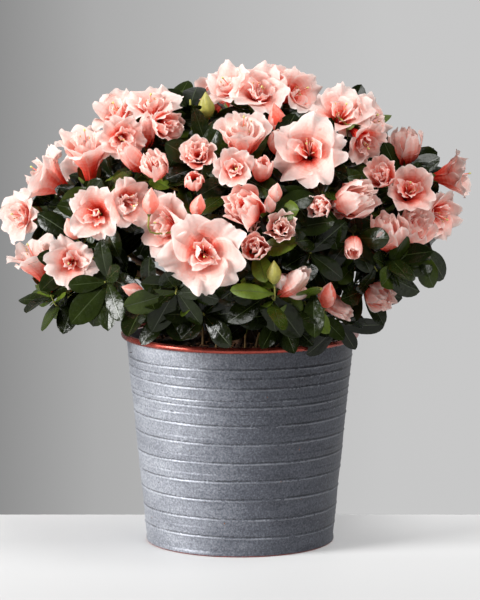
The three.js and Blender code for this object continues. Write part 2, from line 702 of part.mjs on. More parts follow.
// The places along a twig where others can leave it, one at each.
function placesOn(points, radius) {
  const places = [];
  for (let i = 0; i < points.length - 2; i++) {
    const run = points[i + 1].clone().sub(points[i]);
    const count = Math.floor(run.length() / TWIG.between);
    for (let k = 1; k <= count; k++) {
      const along = (i + k / (count + 1)) / (points.length - 1);
      const at = points[i].clone().addScaledVector(run, k / (count + 1));
      places.push({ at, way: run.clone().normalize(), radius: lerp(radius, TWIG.tip, along) });
    }
  }
  return places;
}

// A twig from a place on the twigs already grown to a shoot. Its root is sunk in straight behind that
// place, and it ends straight, along the shoot's axis.
function twigTo(shoot, place) {
  const neck = shoot.foot.clone().addScaledVector(shoot.axis, -TWIG.straight);
  const curve = path(place.at, place.way, neck, shoot.axis);
  const points = curve.getSpacedPoints(Math.ceil(curve.getLength() / TWIG.stretch));
  points.push(shoot.foot.clone().addScaledVector(shoot.axis, shoot.diameter ? INTO_HEAD : 0));
  points[0].addScaledVector(points[1].clone().sub(points[0]).normalize(), -SUNK);
  return { points, place, radius: Math.max(place.radius * TWIG.taper, LEAST_TWIG) };
}

// Twigs from the mass's stem to its shoots, nearest first. Each leaves the place on the twigs already
// grown that makes it short and bends it little, among those from which it runs clear of all the rest.
// A leafy shoot that no twig reaches clear is left out, but a flower head takes the best twig it can.
function growTwigs(mass, stretches, others) {
  const start = mass.entry.clone().addScaledVector(mass.arriving, GAP);
  const hub = mass.entry.clone().addScaledVector(mass.arriving, STUB);
  const stem = [start, hub, hub.clone().addScaledVector(mass.arriving, SUNK)];
  mass.solid = twigSolid({ points: stem, radius: TWIG.stem });
  let places = placesOn(stem, TWIG.stem);
  const nearest = [...mass.shoots].sort((a, b) => a.foot.distanceTo(hub) - b.foot.distanceTo(hub));
  mass.shoots = [];
  for (const shoot of nearest) {
    for (const place of places) {
      const toShoot = shoot.foot.clone().sub(place.at);
      const bend = 1 - toShoot.clone().normalize().dot(place.way);
      place.cost = toShoot.length() * (1 + BEND_COST.share * bend) + BEND_COST.more * bend;
    }
    const best = [...places].sort((a, b) => a.cost - b.cost).slice(0, TWIG.tries);
    const tries = best.map((place) => twigTo(shoot, place));
    const clear = tries.filter((twig) => runsClear(twig.points, twig.radius, stretches));
    const wanted = shoot.diameter ? [...clear, ...tries] : clear;
    const grows = (twig) => !touches(twigSolid(twig), others) && fuse(mass, twigSolid(twig));
    const twig = wanted.find(grows);
    if (!twig) continue;
    const { points, radius } = twig;
    mass.shoots.push(shoot);
    stretches.push(...stretchesOf(points, radius));
    places = places.filter((place) => place !== twig.place).concat(placesOn(points, radius));
  }
}

// A twig is three-sided. Its rings all face its mean direction, so its sides are flat.
function twigSolid({ points, radius }) {
  const direction = vector(0, 0, 0);
  for (let i = 1; i < points.length; i++) direction.add(points[i].clone().sub(points[i - 1]).normalize());
  return solidFrom(tube(points, (t) => lerp(radius, TWIG.tip, t), 3, direction.normalize()));
}

// ---- Assembly ----
const MATERIALS = {
  metal: new THREE.MeshStandardMaterial({ color: 0x7c828c, roughness: 0.55, metalness: 0.6 }),
  copper: new THREE.MeshStandardMaterial({ color: 0xa5402a, roughness: 0.3, metalness: 0.8 }),
  compost: new THREE.MeshStandardMaterial({ color: 0x2c1c13, roughness: 1, metalness: 0 }),
  bark: new THREE.MeshStandardMaterial({ color: 0x6a4a30, roughness: 0.9, metalness: 0 }),
  foliage: new THREE.MeshStandardMaterial({ color: 0xe39a92, roughness: 0.6, metalness: 0 }),
};
const shrub = new THREE.Group();
const standing = []; // solids that foliage keeps clear of

function addPart(name, geometry, material) {
  const mesh = new THREE.Mesh(geometry, material);
  mesh.name = name;
  shrub.add(mesh);
}

function addSolid(name, solid, material) {
  standing.push(solid);
  addPart(name, geometryFrom(solid), material);
}

addSolid("planter_body", solidFrom(planterBody()), MATERIALS.metal);
addSolid("planter_rim", solidFrom(planterRim()), MATERIALS.copper);
addSolid("compost", solidFrom(compost()), MATERIALS.compost);
addSolid("main_stem", solidFrom(mainStem()), MATERIALS.bark);

const masses = planMasses();
// Each bough is cut clear of the stem and of the boughs before it.
let clearance = solidFrom(mainStem(GAP));
for (const mass of masses) {
  addSolid(`bough_${mass.name}`, mainBody(boughSolid(mass).subtract(clearance)), MATERIALS.bark);
  clearance = clearance.add(boughSolid(mass, GAP));
}

// Each head and shoot belongs to the mass whose direction from the heart is nearest to its own.
const heads = seededHeads(frontHeads());
const shoots = [...heads, ...leafyShoots(heads)];
shoots.forEach((shoot, index) => {
  shoot.index = index;
  const way = shoot.foot.clone().sub(HEART).normalize();
  const nearest = masses.reduce((a, b) => (b.direction.dot(way) > a.direction.dot(way) ? b : a));
  nearest.shoots.push(shoot);
});

// Twigs and blooms of every mass come first, a bloom smaller where it is crowded. Then come the leaves,
// which keep out of the other masses.
const boughLine = (mass) => boughCurve(mass).getSpacedPoints(BOUGH.steps);
const stretches = masses.flatMap((mass) => stretchesOf(boughLine(mass), BOUGH.foot));
const othersOf = (mass) => [...standing, ...masses.filter((m) => m !== mass && m.solid).map((m) => m.solid)];
for (const mass of masses) {
  const others = othersOf(mass);
  growTwigs(mass, stretches, others);
  for (const head of mass.shoots.filter((shoot) => shoot.diameter)) {
    const size = HEAD_SIZES.find((share) => !touches(headSolid(head, share, GAP), others));
    if (size) fuse(mass, headSolid(head, size));
  }
}
for (const mass of masses) {
  const others = othersOf(mass);
  for (const shoot of mass.shoots) {
    const count = shoot.diameter ? LEAVES_PER_HEAD : LEAVES_PER_SHOOT;
    for (const leaf of whorl(shoot, shoot.index, count)) {
      const apart = !touches(leafSolid(leaf, GAP), others);
      const free = !touches(leafSolid(bladeOf(leaf)), [mass.solid]);
      if (apart && free && leafFits(leaf, heads, shoot)) fuse(mass, leafSolid(leaf));
    }
  }
  mass.solid = mainBody(mass.solid);
}
for (const mass of masses) addPart(`foliage_${mass.name}`, geometryFrom(mass.solid), MATERIALS.foliage);

export default shrub;
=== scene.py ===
"""Looks of the potted azalea: a dwarf shrub in double flower, in a zinc planter with a copper rim.

Lengths are millimetres until a mesh is made, when they become metres. +Z is up and the front is -Y.
The shrub grows again here by the rule of its CAD source, from the same named sizes and the same seeded
streams, and is carried on to finer twigs, more leaves and real petals within the same reach.
"""
import math

import bpy
import numpy as np
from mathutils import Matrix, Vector


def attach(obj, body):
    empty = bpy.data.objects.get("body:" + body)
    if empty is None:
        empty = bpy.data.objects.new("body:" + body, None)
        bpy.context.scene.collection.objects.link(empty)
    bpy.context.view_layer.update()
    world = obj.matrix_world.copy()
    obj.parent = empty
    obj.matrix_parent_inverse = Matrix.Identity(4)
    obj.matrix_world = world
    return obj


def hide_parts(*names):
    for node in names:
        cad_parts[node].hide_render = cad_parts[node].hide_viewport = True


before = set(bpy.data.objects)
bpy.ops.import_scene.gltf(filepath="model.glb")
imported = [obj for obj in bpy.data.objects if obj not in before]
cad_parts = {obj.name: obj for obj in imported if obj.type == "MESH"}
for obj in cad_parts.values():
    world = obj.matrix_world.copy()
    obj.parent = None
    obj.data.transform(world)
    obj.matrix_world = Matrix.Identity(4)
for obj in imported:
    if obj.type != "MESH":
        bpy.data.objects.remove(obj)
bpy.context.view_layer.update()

MM = 0.001  # metres in a millimetre
PIECE_TRIANGLES = 190_000  # no piece is larger

# ---- Driving dimensions: planter, as in the CAD source ----
POT_HEIGHT = 160
FOOT_RADIUS = 70.5
MOUTH_RADIUS = 86
SHEET = 1.0
RIM_RADIUS = 90
ROLL_RADIUS = 2.3
GAP = 0.3
HOOPS = {"first": 14, "pitch": 14.2, "count": 10, "proud": 0.8}
COMPOST_EDGE = 147  # its height at the wall
COMPOST_TOP = 151  # and in its flat middle
COMPOST_FLAT = 20  # radius of that middle
COMPOST_SHOULDER = {"radius": 55, "over": 2.5}

# ---- Driving dimensions: limbs ----
# Radii at foot, tip and fork. A twig's sizes also give how it tapers where it leaves another, how far it
# runs straight into its shoot, its longest straight stretch, how far apart others leave it, and how many
# places are tried for it.
STEM = {"height": 32, "rise": 3, "foot": 10, "fork": 7, "lean": (3, -2)}
BOUGH = {"foot": 3.0, "tip": 2.1, "steps": 3}
TWIG = {"stem": 1.9, "tip": 0.7, "taper": 0.82, "straight": 9, "stretch": 46, "between": 6, "tries": 8}
PULL = 0.36  # how far a path's handles reach, as a share of the distance it spans
STUB = 24  # length of a mass's own stem before it branches
UPTURN = 0.25  # how far a bough's end is turned from outwards to upwards
ROOT_FREE = 0.4  # share of a twig's first stretch that may lie by the limb it leaves
BEND_COST = {"share": 0.7, "fixed": 6}  # what a sharp bend adds to a twig's length when places are compared

# ---- Driving dimensions: crown ----
# The crown is an egg about its middle. Boughs, shoots and leaves point away from its heart, and no leaf
# leaves the box from its low to its high corner.
CROWN_MIDDLE = np.array((0.0, 0.0, 238.0))
CROWN_REACH = {"across": 165, "deep": 150, "up": 116, "down": 82}
HEART = np.array((0.0, 0.0, 196.0))
CROWN_LOW = np.array((-180.0, -172.0, 136.0))
CROWN_HIGH = np.array((184.0, 172.0, 378.0))
# Tiers of boughs: degrees their masses stand up, how many, degrees the first is turned, the share of the
# crown's reach where a mass begins, and the share of the stem and the degrees where its bough leaves.
TIERS = [
    {"elevation": 90, "count": 1, "turn": 0, "enters": 0.5, "on_stem": 0.85, "leaves": 90},
    {"elevation": 42, "count": 5, "turn": -90, "enters": 0.44, "on_stem": 0.75, "leaves": 58},
    {"elevation": 6, "count": 7, "turn": -64, "enters": 0.42, "on_stem": 0.4, "leaves": 30},
]
HANGING = -0.6  # only shoots whose axis sinks more than this have leaves below the rim
# Leaves of a whorl: degrees off their shoot's axis and how much those vary, how they droop, their share of
# the length, and how far below the shoot's tip, apart along it and sunk in it they stand.
LEAF = {"length": 38, "spread": 62, "spread_by": 26, "droop": 0.12, "size": (0.82, 1.15), "below": 1,
        "apart": 1.5, "sunk": 0.2}
BUD_BELOW = 0.42  # heads less open than this are buds
GREEN_BUD = -1.0  # buds no paler than this are still all green
TIGHT_BUD = 14  # buds under this diameter are still shut tight
SMALL_HEAD = 28  # no leaf hides a front head under this diameter
BUD_LENGTH = 1.9  # a bud's length over its diameter
FOOT_BEHIND = 0.75  # how far a head's foot is behind its centre, as a share of its height
HEADS_APART = 0.4  # least distance between two heads, as a share of both diameters

# The front elevation is set out as seen from this eye point, which is also the camera's.
EYE = np.array((0.0, -2500.0, 530.0))
EYE_PITCH = 7.9

# Flower heads of the front: right of the planter's axis, height, diameter, how far it is open, degrees
# turned to the right of the front, degrees lifted, and how pale it is (0 even, 1 palest, -1 deepest).
# That paleness is the flower's own tint together with painted light and shade: heads on the lit left
# are painted paler, those on the shaded right deeper.
FRONT_HEADS = [
    # top cluster
    (-7, 343, 42, 0.75, -45, 40, 0.4),
    (15, 339, 46, 0.8, 5, 40, 0.3),
    (30, 347, 44, 0.9, 15, 50, 0.2),
    (43, 339, 42, 0.8, 50, 25, 0.2),
    # middle
    (2, 308, 43, 0.62, 0, 65, 0.4),
    (-4, 281, 31, 0.7, -5, 15, 0.0),
    (52, 295, 58, 1.0, -5, 20, 0.4),
    (28, 304, 15, 0.35, 0, 30, -0.4),
    (18, 285, 17, 0.3, 5, 30, -0.4),
    (-32, 293, 29, 0.6, -5, 25, 0.0),
    (-35, 274, 15, 0.35, 0, 20, -0.3),
    (1, 254, 33, 0.5, -30, 25, -0.5),
    (10, 241, 18, 0.5, 0, 20, -0.5),
    (11, 222, 24, 0.5, -5, 15, -0.1),
    (32, 237, 26, 0.55, 5, 15, 0.9),
    (-28, 217, 62, 1.0, 0, 5, 0.5),
    (-56, 238, 52, 0.9, -50, 10, 0.4),
    # upper right
    (77, 324, 52, 0.95, 10, 40, 0.6),
    (98, 319, 44, 0.9, 50, 15, 0.5),
    (94, 303, 36, 0.8, 40, -30, -0.6),
    (127, 305, 27, 0.43, 15, 80, -0.4),
    # right
    (163, 277, 42, 0.66, 80, 10, -0.2),
    (129, 265, 40, 0.66, 5, 25, -0.5),
    (108, 277, 28, 0.58, -20, 30, -0.7),
    (93, 260, 32, 0.45, 50, 20, 0.1),
    (151, 247, 40, 0.8, 45, -5, -0.2),
    (113, 237, 31, 0.5, 0, 55, -0.3),
    (134, 238, 35, 0.55, 35, 35, -0.3),
    (60, 253, 20, 0.5, -20, 10, 0.1),
    (75, 253, 20, 0.55, 20, 10, 0.1),
    # upper left
    (-67, 328, 43, 0.8, 5, 60, 0.4),
    (-93, 323, 42, 0.75, -30, 45, 0.3),
    (-90, 305, 36, 0.75, 5, 5, -0.2),
    (-55, 315, 29, 0.55, 30, 5, -0.2),
    (-87, 295, 16, 0.3, -45, 45, -0.3),
    (-66, 287, 23, 0.45, -20, 40, -0.1),
    # left
    (-116, 296, 52, 0.66, -10, 72, 0.7),
    (-147, 275, 52, 0.7, -85, 35, 0.7),
    (-166, 246, 44, 0.85, -50, 5, 0.7),
    (-109, 248, 43, 0.85, -5, 10, 0.1),
    (-86, 256, 40, 0.75, 25, 0, 0.3),
    (-129, 210, 40, 0.85, 0, 5, 0.6),
    (-156, 212, 44, 0.66, -60, 65, 1.0),
    # buds
    (-130, 240, 11, 0.35, -30, 50, 0.3),
    (-71, 318, 15, 0.35, 10, 75, -0.2),
    (-68, 262, 11, 0.1, 20, 75, 0.1),
    (27, 326, 12, 0.1, -40, 70, -0.4),
    (28, 267, 9, 0.1, 20, 60, 0.4),
    (22, 258, 8, 0.1, -15, 60, 0.6),
    (-31, 258, 10, 0.1, 30, 60, 0.0),
    (-86, 190, 10, 0.1, -60, 20, 0.2),
    (-26, 335, 11, 0.1, -10, 80, -1.0),
    # low, among the leaves
    (26, 207, 9.5, 0.1, -10, 80, -1.0),
    (31, 196, 12, 0.1, 0, 10, 0.8),
    (39, 186, 9.5, 0.1, -70, -5, 0.9),
    (47, 200, 17, 0.3, 60, 40, 0.9),
    (68, 190, 12, 0.1, 20, 60, -0.2),
    (80, 173, 17, 0.3, 60, -25, 0.1),
    (87, 218, 15, 0.35, 0, -20, -0.3),
    (109, 184, 25, 0.5, 40, -10, -0.4),
]

# Leafy shoots that make the front's outline: right, height, turn and lift.
FRONT_SHOOTS = [
    (-38, 334, -10, 80),
    (-141, 184, -80, -5),
    (-103, 195, -30, 0),
    (-49, 186, -10, -35),
    (-14, 190, 0, -10),
    (22, 184, 5, -35),
    (50, 178, 10, -35),
    (-58, 172, -20, 10),
    (-28, 171, -10, 20),
    (32, 171, 10, 15),
    (60, 172, 20, 10),
    (76, 162, 25, -45),
    (101, 176, 40, -20),
    (119, 205, 50, -10),
    (142, 222, 75, -5),
]
HEAD_SINKS = range(0, 61, 4)  # how far a front head may sink into the crown, to clear its neighbours
SHOOT_SINKS = 6  # and how far every front shoot does
SIGHT_DEPTHS = range(-170, 2, 2)  # where a line of sight is searched for the crown's surface

# Heads and shoots of the sides and the back. Each kind of head is taken from this draw on.
SEEDED_HEADS = 78
HEAD_KINDS = [
    {"from": 0.85, "across": (11, 17), "open": (0.3, 0.3)},
    {"from": 0.62, "across": (22, 32), "open": (0.45, 0.65)},
    {"from": 0, "across": (34, 52), "open": (0.7, 1)},
]
HEAD_PALES = (-0.5, 0.7)  # as the last number of FRONT_HEADS
HEAD_DEPTHS = (0.93, 1)  # shares of the crown's reach, as the shoots' are
LOW_HEADS = {"below": -0.05, "skipped": 0.6}  # low on the crown are only some heads, all buds
FRONT_ENDS = -8  # seeded heads stay behind this
SEEDED_SHOOTS = 56
SHOOT_DEPTHS = (0.78, 0.92)
SHOOT_UPTURN = 0.3  # the most that a shoot is turned from outwards to upwards
SHOOT_ROOM = {"share": 0.45, "past": 5, "apart": 16}  # of a head's diameter, past it, and from other shoots
OUTLINE = {"heads": 0.8, "shoots": 0.72}  # shares of the front elevation's outline that seeded ones keep in
SPREAD_DOWN = 1.32  # how far from its top the crown is dealt out: 1 is to its middle, 2 to its very bottom
SEED = 4177

# ---- Driving dimensions: what is finer here than in the CAD source ----
# Side shoots grow where the twigs leave room, at these depths in the crown, and suckers from the compost,
# this far away from the stem, with tips this far out, up and aslant. Each has a number of leaves.
LEAVES_PER_HEAD = 6
LEAVES_PER_SHOOT = 8
SIDE_SHOOT = {"length": (12, 34), "leaves": 6, "depths": (0.3, 0.92), "over_compost": 12}
SIDE_ROOM = {"share": 0.4, "past": 8, "apart": 13}
SUCKERS = {"count": 14, "away": (14, 52), "out": (4, 22), "up": (16, 44), "lean": (0.2, 0.9), "leaves": 4}
# Shares of a leaf's length, of its width in its length, of its turn to the light, and of a whorl's own kind.
LEAF_VARIES = {"length": (0.7, 0.98), "slim": (0.4, 0.52), "to_light": 0.62, "own_kind": 0.8}
LEAF_TRIED = (0.35, 0.65, 1)  # shares of a leaf's length at which its room is tried
# Room that leaves keep: over the compost, out from and over the rim, to both sides of the wall, round
# other heads as a share of their diameter and past it, and before every head, as wide and as far.
LEAF_ROOM = {"compost": 2, "rim": 3, "wall": 7, "head": 0.38, "past_head": 2, "face": 0.4, "ahead": 30}


# ---- Small helpers ----
def vec(*xyz):
    return np.array(xyz, float)


UP = vec(0, 0, 1)
GOLDEN_ANGLE = math.pi * (3 - math.sqrt(5))


def lerp(a, b, t):
    return a + (b - a) * t


def length_of(v):
    return float(np.linalg.norm(v))


def unit(v):
    return v / max(length_of(v), 1e-9)


def cubic(count, a, b, c, d):
    """Points of the cubic curve that these four handles give."""
    t = np.linspace(0, 1, count)[:, None]
    return (1 - t) ** 3 * a + 3 * (1 - t) ** 2 * t * b + 3 * (1 - t) * t**2 * c + t**3 * d


def smooth(low, high, x):
    """0 below low, 1 above high, and an easy rise between."""
    t = np.clip((x - low) / (high - low), 0, 1)
    return t * t * (3 - 2 * t)


def random_stream(seed):
    """The same repeatable stream of numbers from 0 to 1 as the CAD source has."""
    state = seed % 2147483647

    def draw():
        nonlocal state
        state = state * 16807 % 2147483647
        return state / 2147483647

    return draw


def facing(turn, lift):
    """The direction that is turned to the right of the front and lifted by these degrees."""
    t, l = math.radians(turn), math.radians(lift)
    return vec(math.sin(t) * math.cos(l), -math.cos(t) * math.cos(l), math.sin(l))


def across(axis):
    """Two directions square to an axis and to each other."""
    side = np.cross(UP, axis)
    side = unit(side) if length_of(side) > 0.1 else vec(1, 0, 0)
    side = unit(side - axis * side.dot(axis))
    return side, np.cross(axis, side)


# ---- Paths ----
class Path:
    """A smooth path that leaves one point along one direction and reaches another along another."""

    def __init__(self, start, leaving, end, arriving):
        reach = length_of(end - start) * PULL
        self.line = cubic(101, start, start + leaving * reach, end - arriving * reach, end)
        steps = np.linalg.norm(np.diff(self.line, axis=0), axis=1)
        self.run = np.concatenate([[0], np.cumsum(steps)])

    def at(self, shares):
        """Points at these shares of the path's length."""
        wanted = np.atleast_1d(shares) * self.run[-1]
        return np.stack([np.interp(wanted, self.run, self.line[:, k]) for k in range(3)], axis=-1)

    def spaced(self, steps):
        return self.at(np.linspace(0, 1, steps + 1))


# ---- Meshes ----
class Pile:
    """Gathers small meshes and makes them into few Blender objects. A face has four corners, or three
    and a -1."""

    def __init__(self, name, materials):
        self.name, self.materials = name, materials
        self.chunks = []

    def add(self, points, faces, shades):
        faces = np.asarray(faces)
        shades = np.broadcast_to(np.asarray(shades), (len(faces),))
        self.chunks.append((np.asarray(points, float).reshape(-1, 3), faces, shades))

    def make(self, nodes):
        """Makes the objects. Each rides on the planter and stands for these CAD nodes."""
        groups, room = [[]], PIECE_TRIANGLES
        for chunk in self.chunks:
            triangles = int((chunk[1] >= 0).sum() - 2 * len(chunk[1]))
            if triangles > room:
                groups.append([])
                room = PIECE_TRIANGLES
            groups[-1].append(chunk)
            room -= triangles
        for i, group in enumerate(groups):
            name = self.name if len(groups) == 1 else f"{self.name}_{i + 1}"
            piece = mesh_object(name, group, self.materials)
            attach(piece, "root")
            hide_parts(*nodes)


def mesh_object(name, chunks, materials):
    """One Blender object from chunks of points, faces and shades, in millimetres."""
    starts = np.cumsum([0] + [len(points) for points, _, _ in chunks])
    points = np.concatenate([chunk[0] for chunk in chunks]) * MM
    faces = np.concatenate([np.where(f >= 0, f + s, -1) for (_, f, _), s in zip(chunks, starts)])
    shades = np.concatenate([chunk[2] for chunk in chunks])
    corners = faces[faces >= 0]
    counts = (faces >= 0).sum(axis=1)
    mesh = bpy.data.meshes.new(name)
    mesh.vertices.add(len(points))
    mesh.vertices.foreach_set("co", points.astype(np.float32).ravel())
    mesh.loops.add(len(corners))
    mesh.loops.foreach_set("vertex_index", corners.astype(np.int32))
    mesh.polygons.add(len(faces))
    mesh.polygons.foreach_set("loop_start", (np.cumsum(counts) - counts).astype(np.int32))
    mesh.polygons.foreach_set("material_index", shades.astype(np.int32))
    mesh.polygons.foreach_set("use_smooth", np.ones(len(faces), bool))
    for material in materials:
        mesh.materials.append(material)
    mesh.update(calc_edges=True)
    piece = bpy.data.objects.new(name, mesh)
    bpy.context.scene.collection.objects.link(piece)
    return piece


def grid_faces(rows, columns, closed=False):
    """Faces of a grid of points, whose last column may join its first."""
    across_by = columns if closed else columns - 1
    row, column = np.meshgrid(np.arange(rows - 1), np.arange(across_by), indexing="ij")
    after = (column + 1) % columns
    here, there = row * columns, (row + 1) * columns
    return np.stack([here + column, here + after, there + after, there + column], axis=-1).reshape(-1, 4)


def turned(profile, segments, shift=None):
    """Points and faces of a lathe about Z. shift(angle, height) may move its radius."""
    angle = np.linspace(0, 2 * math.pi, segments, endpoint=False)[None, :]
    radius = profile[:, 0][:, None] * np.ones_like(angle)
    height = profile[:, 1][:, None] * np.ones_like(angle)
    if shift is not None:
        radius = radius + shift(angle, height)
    points = np.stack([radius * np.cos(angle), radius * np.sin(angle), height], axis=-1)
    return points.reshape(-1, 3), grid_faces(len(profile), segments, closed=True)


def tube(points, radii, sides, relief=None):
    """Points and faces of a limb with rounded ends. relief(share, angle) may swell its radius."""
    count = len(points)
    along = np.gradient(points, axis=0)
    along /= np.linalg.norm(along, axis=1)[:, None]
    normal, _ = across(along[0])
    angle = np.linspace(0, 2 * math.pi, sides, endpoint=False)
    rings = np.empty((count, sides, 3))
    for i in range(count):
        normal = unit(normal - along[i] * normal.dot(along[i]))
        other = np.cross(along[i], normal)
        radius = radii[i] * (1 if relief is None else relief(i / (count - 1), angle))
        spread = np.outer(np.cos(angle) * radius, normal) + np.outer(np.sin(angle) * radius, other)
        rings[i] = points[i] + spread
    faces = grid_faces(count, sides, closed=True)
    start, end = count * sides, count * sides + 1
    one, two = np.arange(sides), (np.arange(sides) + 1) % sides
    last = (count - 1) * sides
    low = np.stack([two, one, np.full(sides, start), np.full(sides, -1)], axis=-1)
    high = np.stack([last + one, last + two, np.full(sides, end), np.full(sides, -1)], axis=-1)
    ends = [points[0] - along[0] * radii[0] * 0.3, points[-1] + along[-1] * radii[-1] * 0.8]
    return np.concatenate([rings.reshape(-1, 3), ends]), np.concatenate([faces, low, high])


# ---- The crown's plan: masses, flower heads and leafy shoots ----
STEM_FOOT = vec(0, 0, COMPOST_TOP + GAP)
STEM_RISE = STEM_FOOT + UP * STEM["rise"]
STEM_FORK = vec(*STEM["lean"], COMPOST_TOP + GAP + STEM["height"])
STEM_PATH = Path(STEM_RISE, UP, STEM_FORK, UP)


def reach_towards(way):
    """The crown's reach across, deep, and up or down as this way points."""
    return vec(CROWN_REACH["across"], CROWN_REACH["deep"], CROWN_REACH["up" if way[2] > 0 else "down"])


def reach_of(direction):
    return direction * reach_towards(direction)


def plan_masses():
    """Each mass has a bough from the stem to the point where the mass begins."""
    masses = []
    for tier in TIERS:
        for i in range(tier["count"]):
            turn = tier["turn"] + 360 / tier["count"] * i
            direction = facing(turn, tier["elevation"])
            entry = HEART + reach_of(direction) * tier["enters"]
            arriving = unit(lerp(direction, UP, UPTURN))
            foot = STEM_PATH.at(tier["on_stem"])[0]
            bough = Path(foot, facing(turn, tier["leaves"]), entry, arriving)
            masses.append({"direction": direction, "entry": entry, "arriving": arriving, "bough": bough,
                           "shoots": [], "twigs": []})
    return masses


def depth_in_crown(point):
    """How far out a point is, as a share of the crown's reach in its direction."""
    off = point - CROWN_MIDDLE
    return length_of(off / reach_towards(off))


def on_front(right, height, sunk=0):
    """The point seen at this place in the front elevation, on the crown's surface or sunk behind it."""
    pitch = math.radians(EYE_PITCH)
    sight = vec(right, height * math.sin(pitch), height * math.cos(pitch)) - EYE
    nearest = None
    for deep in SIGHT_DEPTHS:
        point = EYE + sight * ((deep + sunk - EYE[1]) / sight[1])
        depth = depth_in_crown(point)
        if depth <= 1:
            return point
        if nearest is None or depth < nearest[0]:
            nearest = (depth, point)
    return nearest[1]


def make_head(centre, axis, diameter, is_open, tint_and_painted_light):
    """A flower head. A bud is slim, and a flower gets flatter as it opens."""
    height = diameter * (BUD_LENGTH if is_open < BUD_BELOW else 1.5 - is_open)
    return {"centre": centre, "axis": axis, "diameter": diameter, "open": is_open, "height": height,
            "foot": centre - axis * height * FOOT_BEHIND, "tint_and_painted_light": tint_and_painted_light, "shown": False}


def too_close(head, others):
    return any(
        length_of(head["centre"] - other["centre"]) < HEADS_APART * (head["diameter"] + other["diameter"])
        for other in others
    )


def in_a_head(point, heads, room):
    return any(length_of(point - h["centre"]) < room["share"] * h["diameter"] + room["past"] for h in heads)


def crowded(point, others, room):
    return any(length_of(point - other) < room["apart"] for other in others)


def front_heads():
    """The heads of the front's table, each sunk until it clears those before it."""
    heads = []
    for right, height, diameter, is_open, turn, lift, tint_and_painted_light in FRONT_HEADS:
        for sunk in HEAD_SINKS:
            centre = on_front(right, height, sunk)
            head = make_head(centre, facing(turn, lift), diameter, is_open, tint_and_painted_light)
            if not too_close(head, heads):
                break
        head["shown"] = diameter < SMALL_HEAD
        heads.append(head)
    return heads


def spread_direction(i, count):
    """The i-th of count even directions over the crown, from its top to a little under its middle."""
    z = 1 - SPREAD_DOWN * (i + 0.5) / count
    flat = math.sqrt(1 - z * z)
    return vec(flat * math.cos(i * GOLDEN_ANGLE), flat * math.sin(i * GOLDEN_ANGLE), z)


def within_outline(off, limit):
    """A point off the crown's middle, drawn in to stay inside this share of the front's outline."""
    reach = reach_towards(off)
    edge = math.hypot(off[0] / reach[0], off[2] / reach[2])
    share = min(1, limit / max(edge, 1e-6))
    return off * vec(share, 1, share)


def seeded_heads(heads):
    """Heads for the sides and the back, in the same mixture as the front."""
    draw = random_stream(SEED)
    made = list(heads)
    for i in range(SEEDED_HEADS):
        direction = spread_direction(i, SEEDED_HEADS)
        kind, size, sway, share = draw(), draw(), draw(), draw()
        low = direction[2] < LOW_HEADS["below"]
        if low and share < LOW_HEADS["skipped"]:
            continue
        sizes = HEAD_KINDS[0] if low else next(k for k in HEAD_KINDS if kind > k["from"])
        off = reach_of(direction) * lerp(*HEAD_DEPTHS, sway)
        centre = CROWN_MIDDLE + within_outline(off, OUTLINE["heads"])
        axis = unit(direction + vec(sway - 0.5, size - 0.5, kind * 0.6))
        diameter, is_open = lerp(*sizes["across"], size), lerp(*sizes["open"], share)
        head = make_head(centre, axis, diameter, is_open, lerp(*HEAD_PALES, sway))
        if centre[1] > FRONT_ENDS and not too_close(head, made):
            made.append(head)
    return made


def leafy_shoots(heads):
    """The shoots of the front's outline, and even ones over the crown, where no head is in their way."""
    shoots = []

    def add(tip, axis):
        feet = [shoot["foot"] for shoot in shoots]
        if not in_a_head(tip, heads, SHOOT_ROOM) and not crowded(tip, feet, SHOOT_ROOM):
            shoots.append({"foot": tip, "axis": axis})

    for right, height, turn, lift in FRONT_SHOOTS:
        add(on_front(right, height, SHOOT_SINKS), facing(turn, lift))
    draw = random_stream(SEED + 1)
    for i in range(SEEDED_SHOOTS):
        direction = spread_direction(i, SEEDED_SHOOTS)
        off = reach_of(direction) * lerp(*SHOOT_DEPTHS, draw())
        tip = CROWN_MIDDLE + within_outline(off, OUTLINE["shoots"])
        add(tip, unit(lerp(direction, UP, SHOOT_UPTURN * draw())))
    return shoots


# ---- Growth ----
def distances(a, b, starts, ends):
    """The shortest distance from the stretch a to b to each of the stretches from starts to ends."""
    ab, cd, ca = b - a, ends - starts, a - starts
    long_ab, long_cd, both = ab @ ab, (cd * cd).sum(1), cd @ ab
    square = long_ab * long_cd - both**2
    on_ab = (both * (cd * ca).sum(1) - (ca @ ab) * long_cd) / np.maximum(square, 1e-9)
    on_ab = np.where(square > 1e-9, np.clip(on_ab, 0, 1), 0)
    on_cd = np.clip((both * on_ab + (cd * ca).sum(1)) / long_cd, 0, 1)
    on_ab = np.clip((both * on_cd - ca @ ab) / long_ab, 0, 1)
    return np.linalg.norm(ca + on_ab[:, None] * ab - on_cd[:, None] * cd, axis=1)


class Stretches:
    """Every straight stretch of the limbs grown so far, that a new twig keeps clear of."""

    def __init__(self):
        self.starts, self.ends, self.radii = np.empty((0, 3)), np.empty((0, 3)), np.empty(0)

    def add(self, points, radius):
        self.starts = np.concatenate([self.starts, points[:-1]])
        self.ends = np.concatenate([self.ends, points[1:]])
        self.radii = np.concatenate([self.radii, np.full(len(points) - 1, radius)])

    def clear_of(self, points, radius):
        for i in range(len(points) - 1):
            start = lerp(points[0], points[1], ROOT_FREE) if i == 0 else points[i]
            away = distances(start, points[i + 1], self.starts, self.ends)
            if (away < self.radii + radius + GAP).any():
                return False
        return True


def places_on(points, radius):
    """The places along a twig where others can leave it, one at each."""
    places = []
    for i in range(len(points) - 2):
        run = points[i + 1] - points[i]
        count = int(length_of(run) // TWIG["between"])
        for k in range(1, count + 1):
            share = (i + k / (count + 1)) / (len(points) - 1)
            places.append({"at": points[i] + run * k / (count + 1), "way": unit(run),
                           "radius": lerp(radius, TWIG["tip"], share)})
    return places


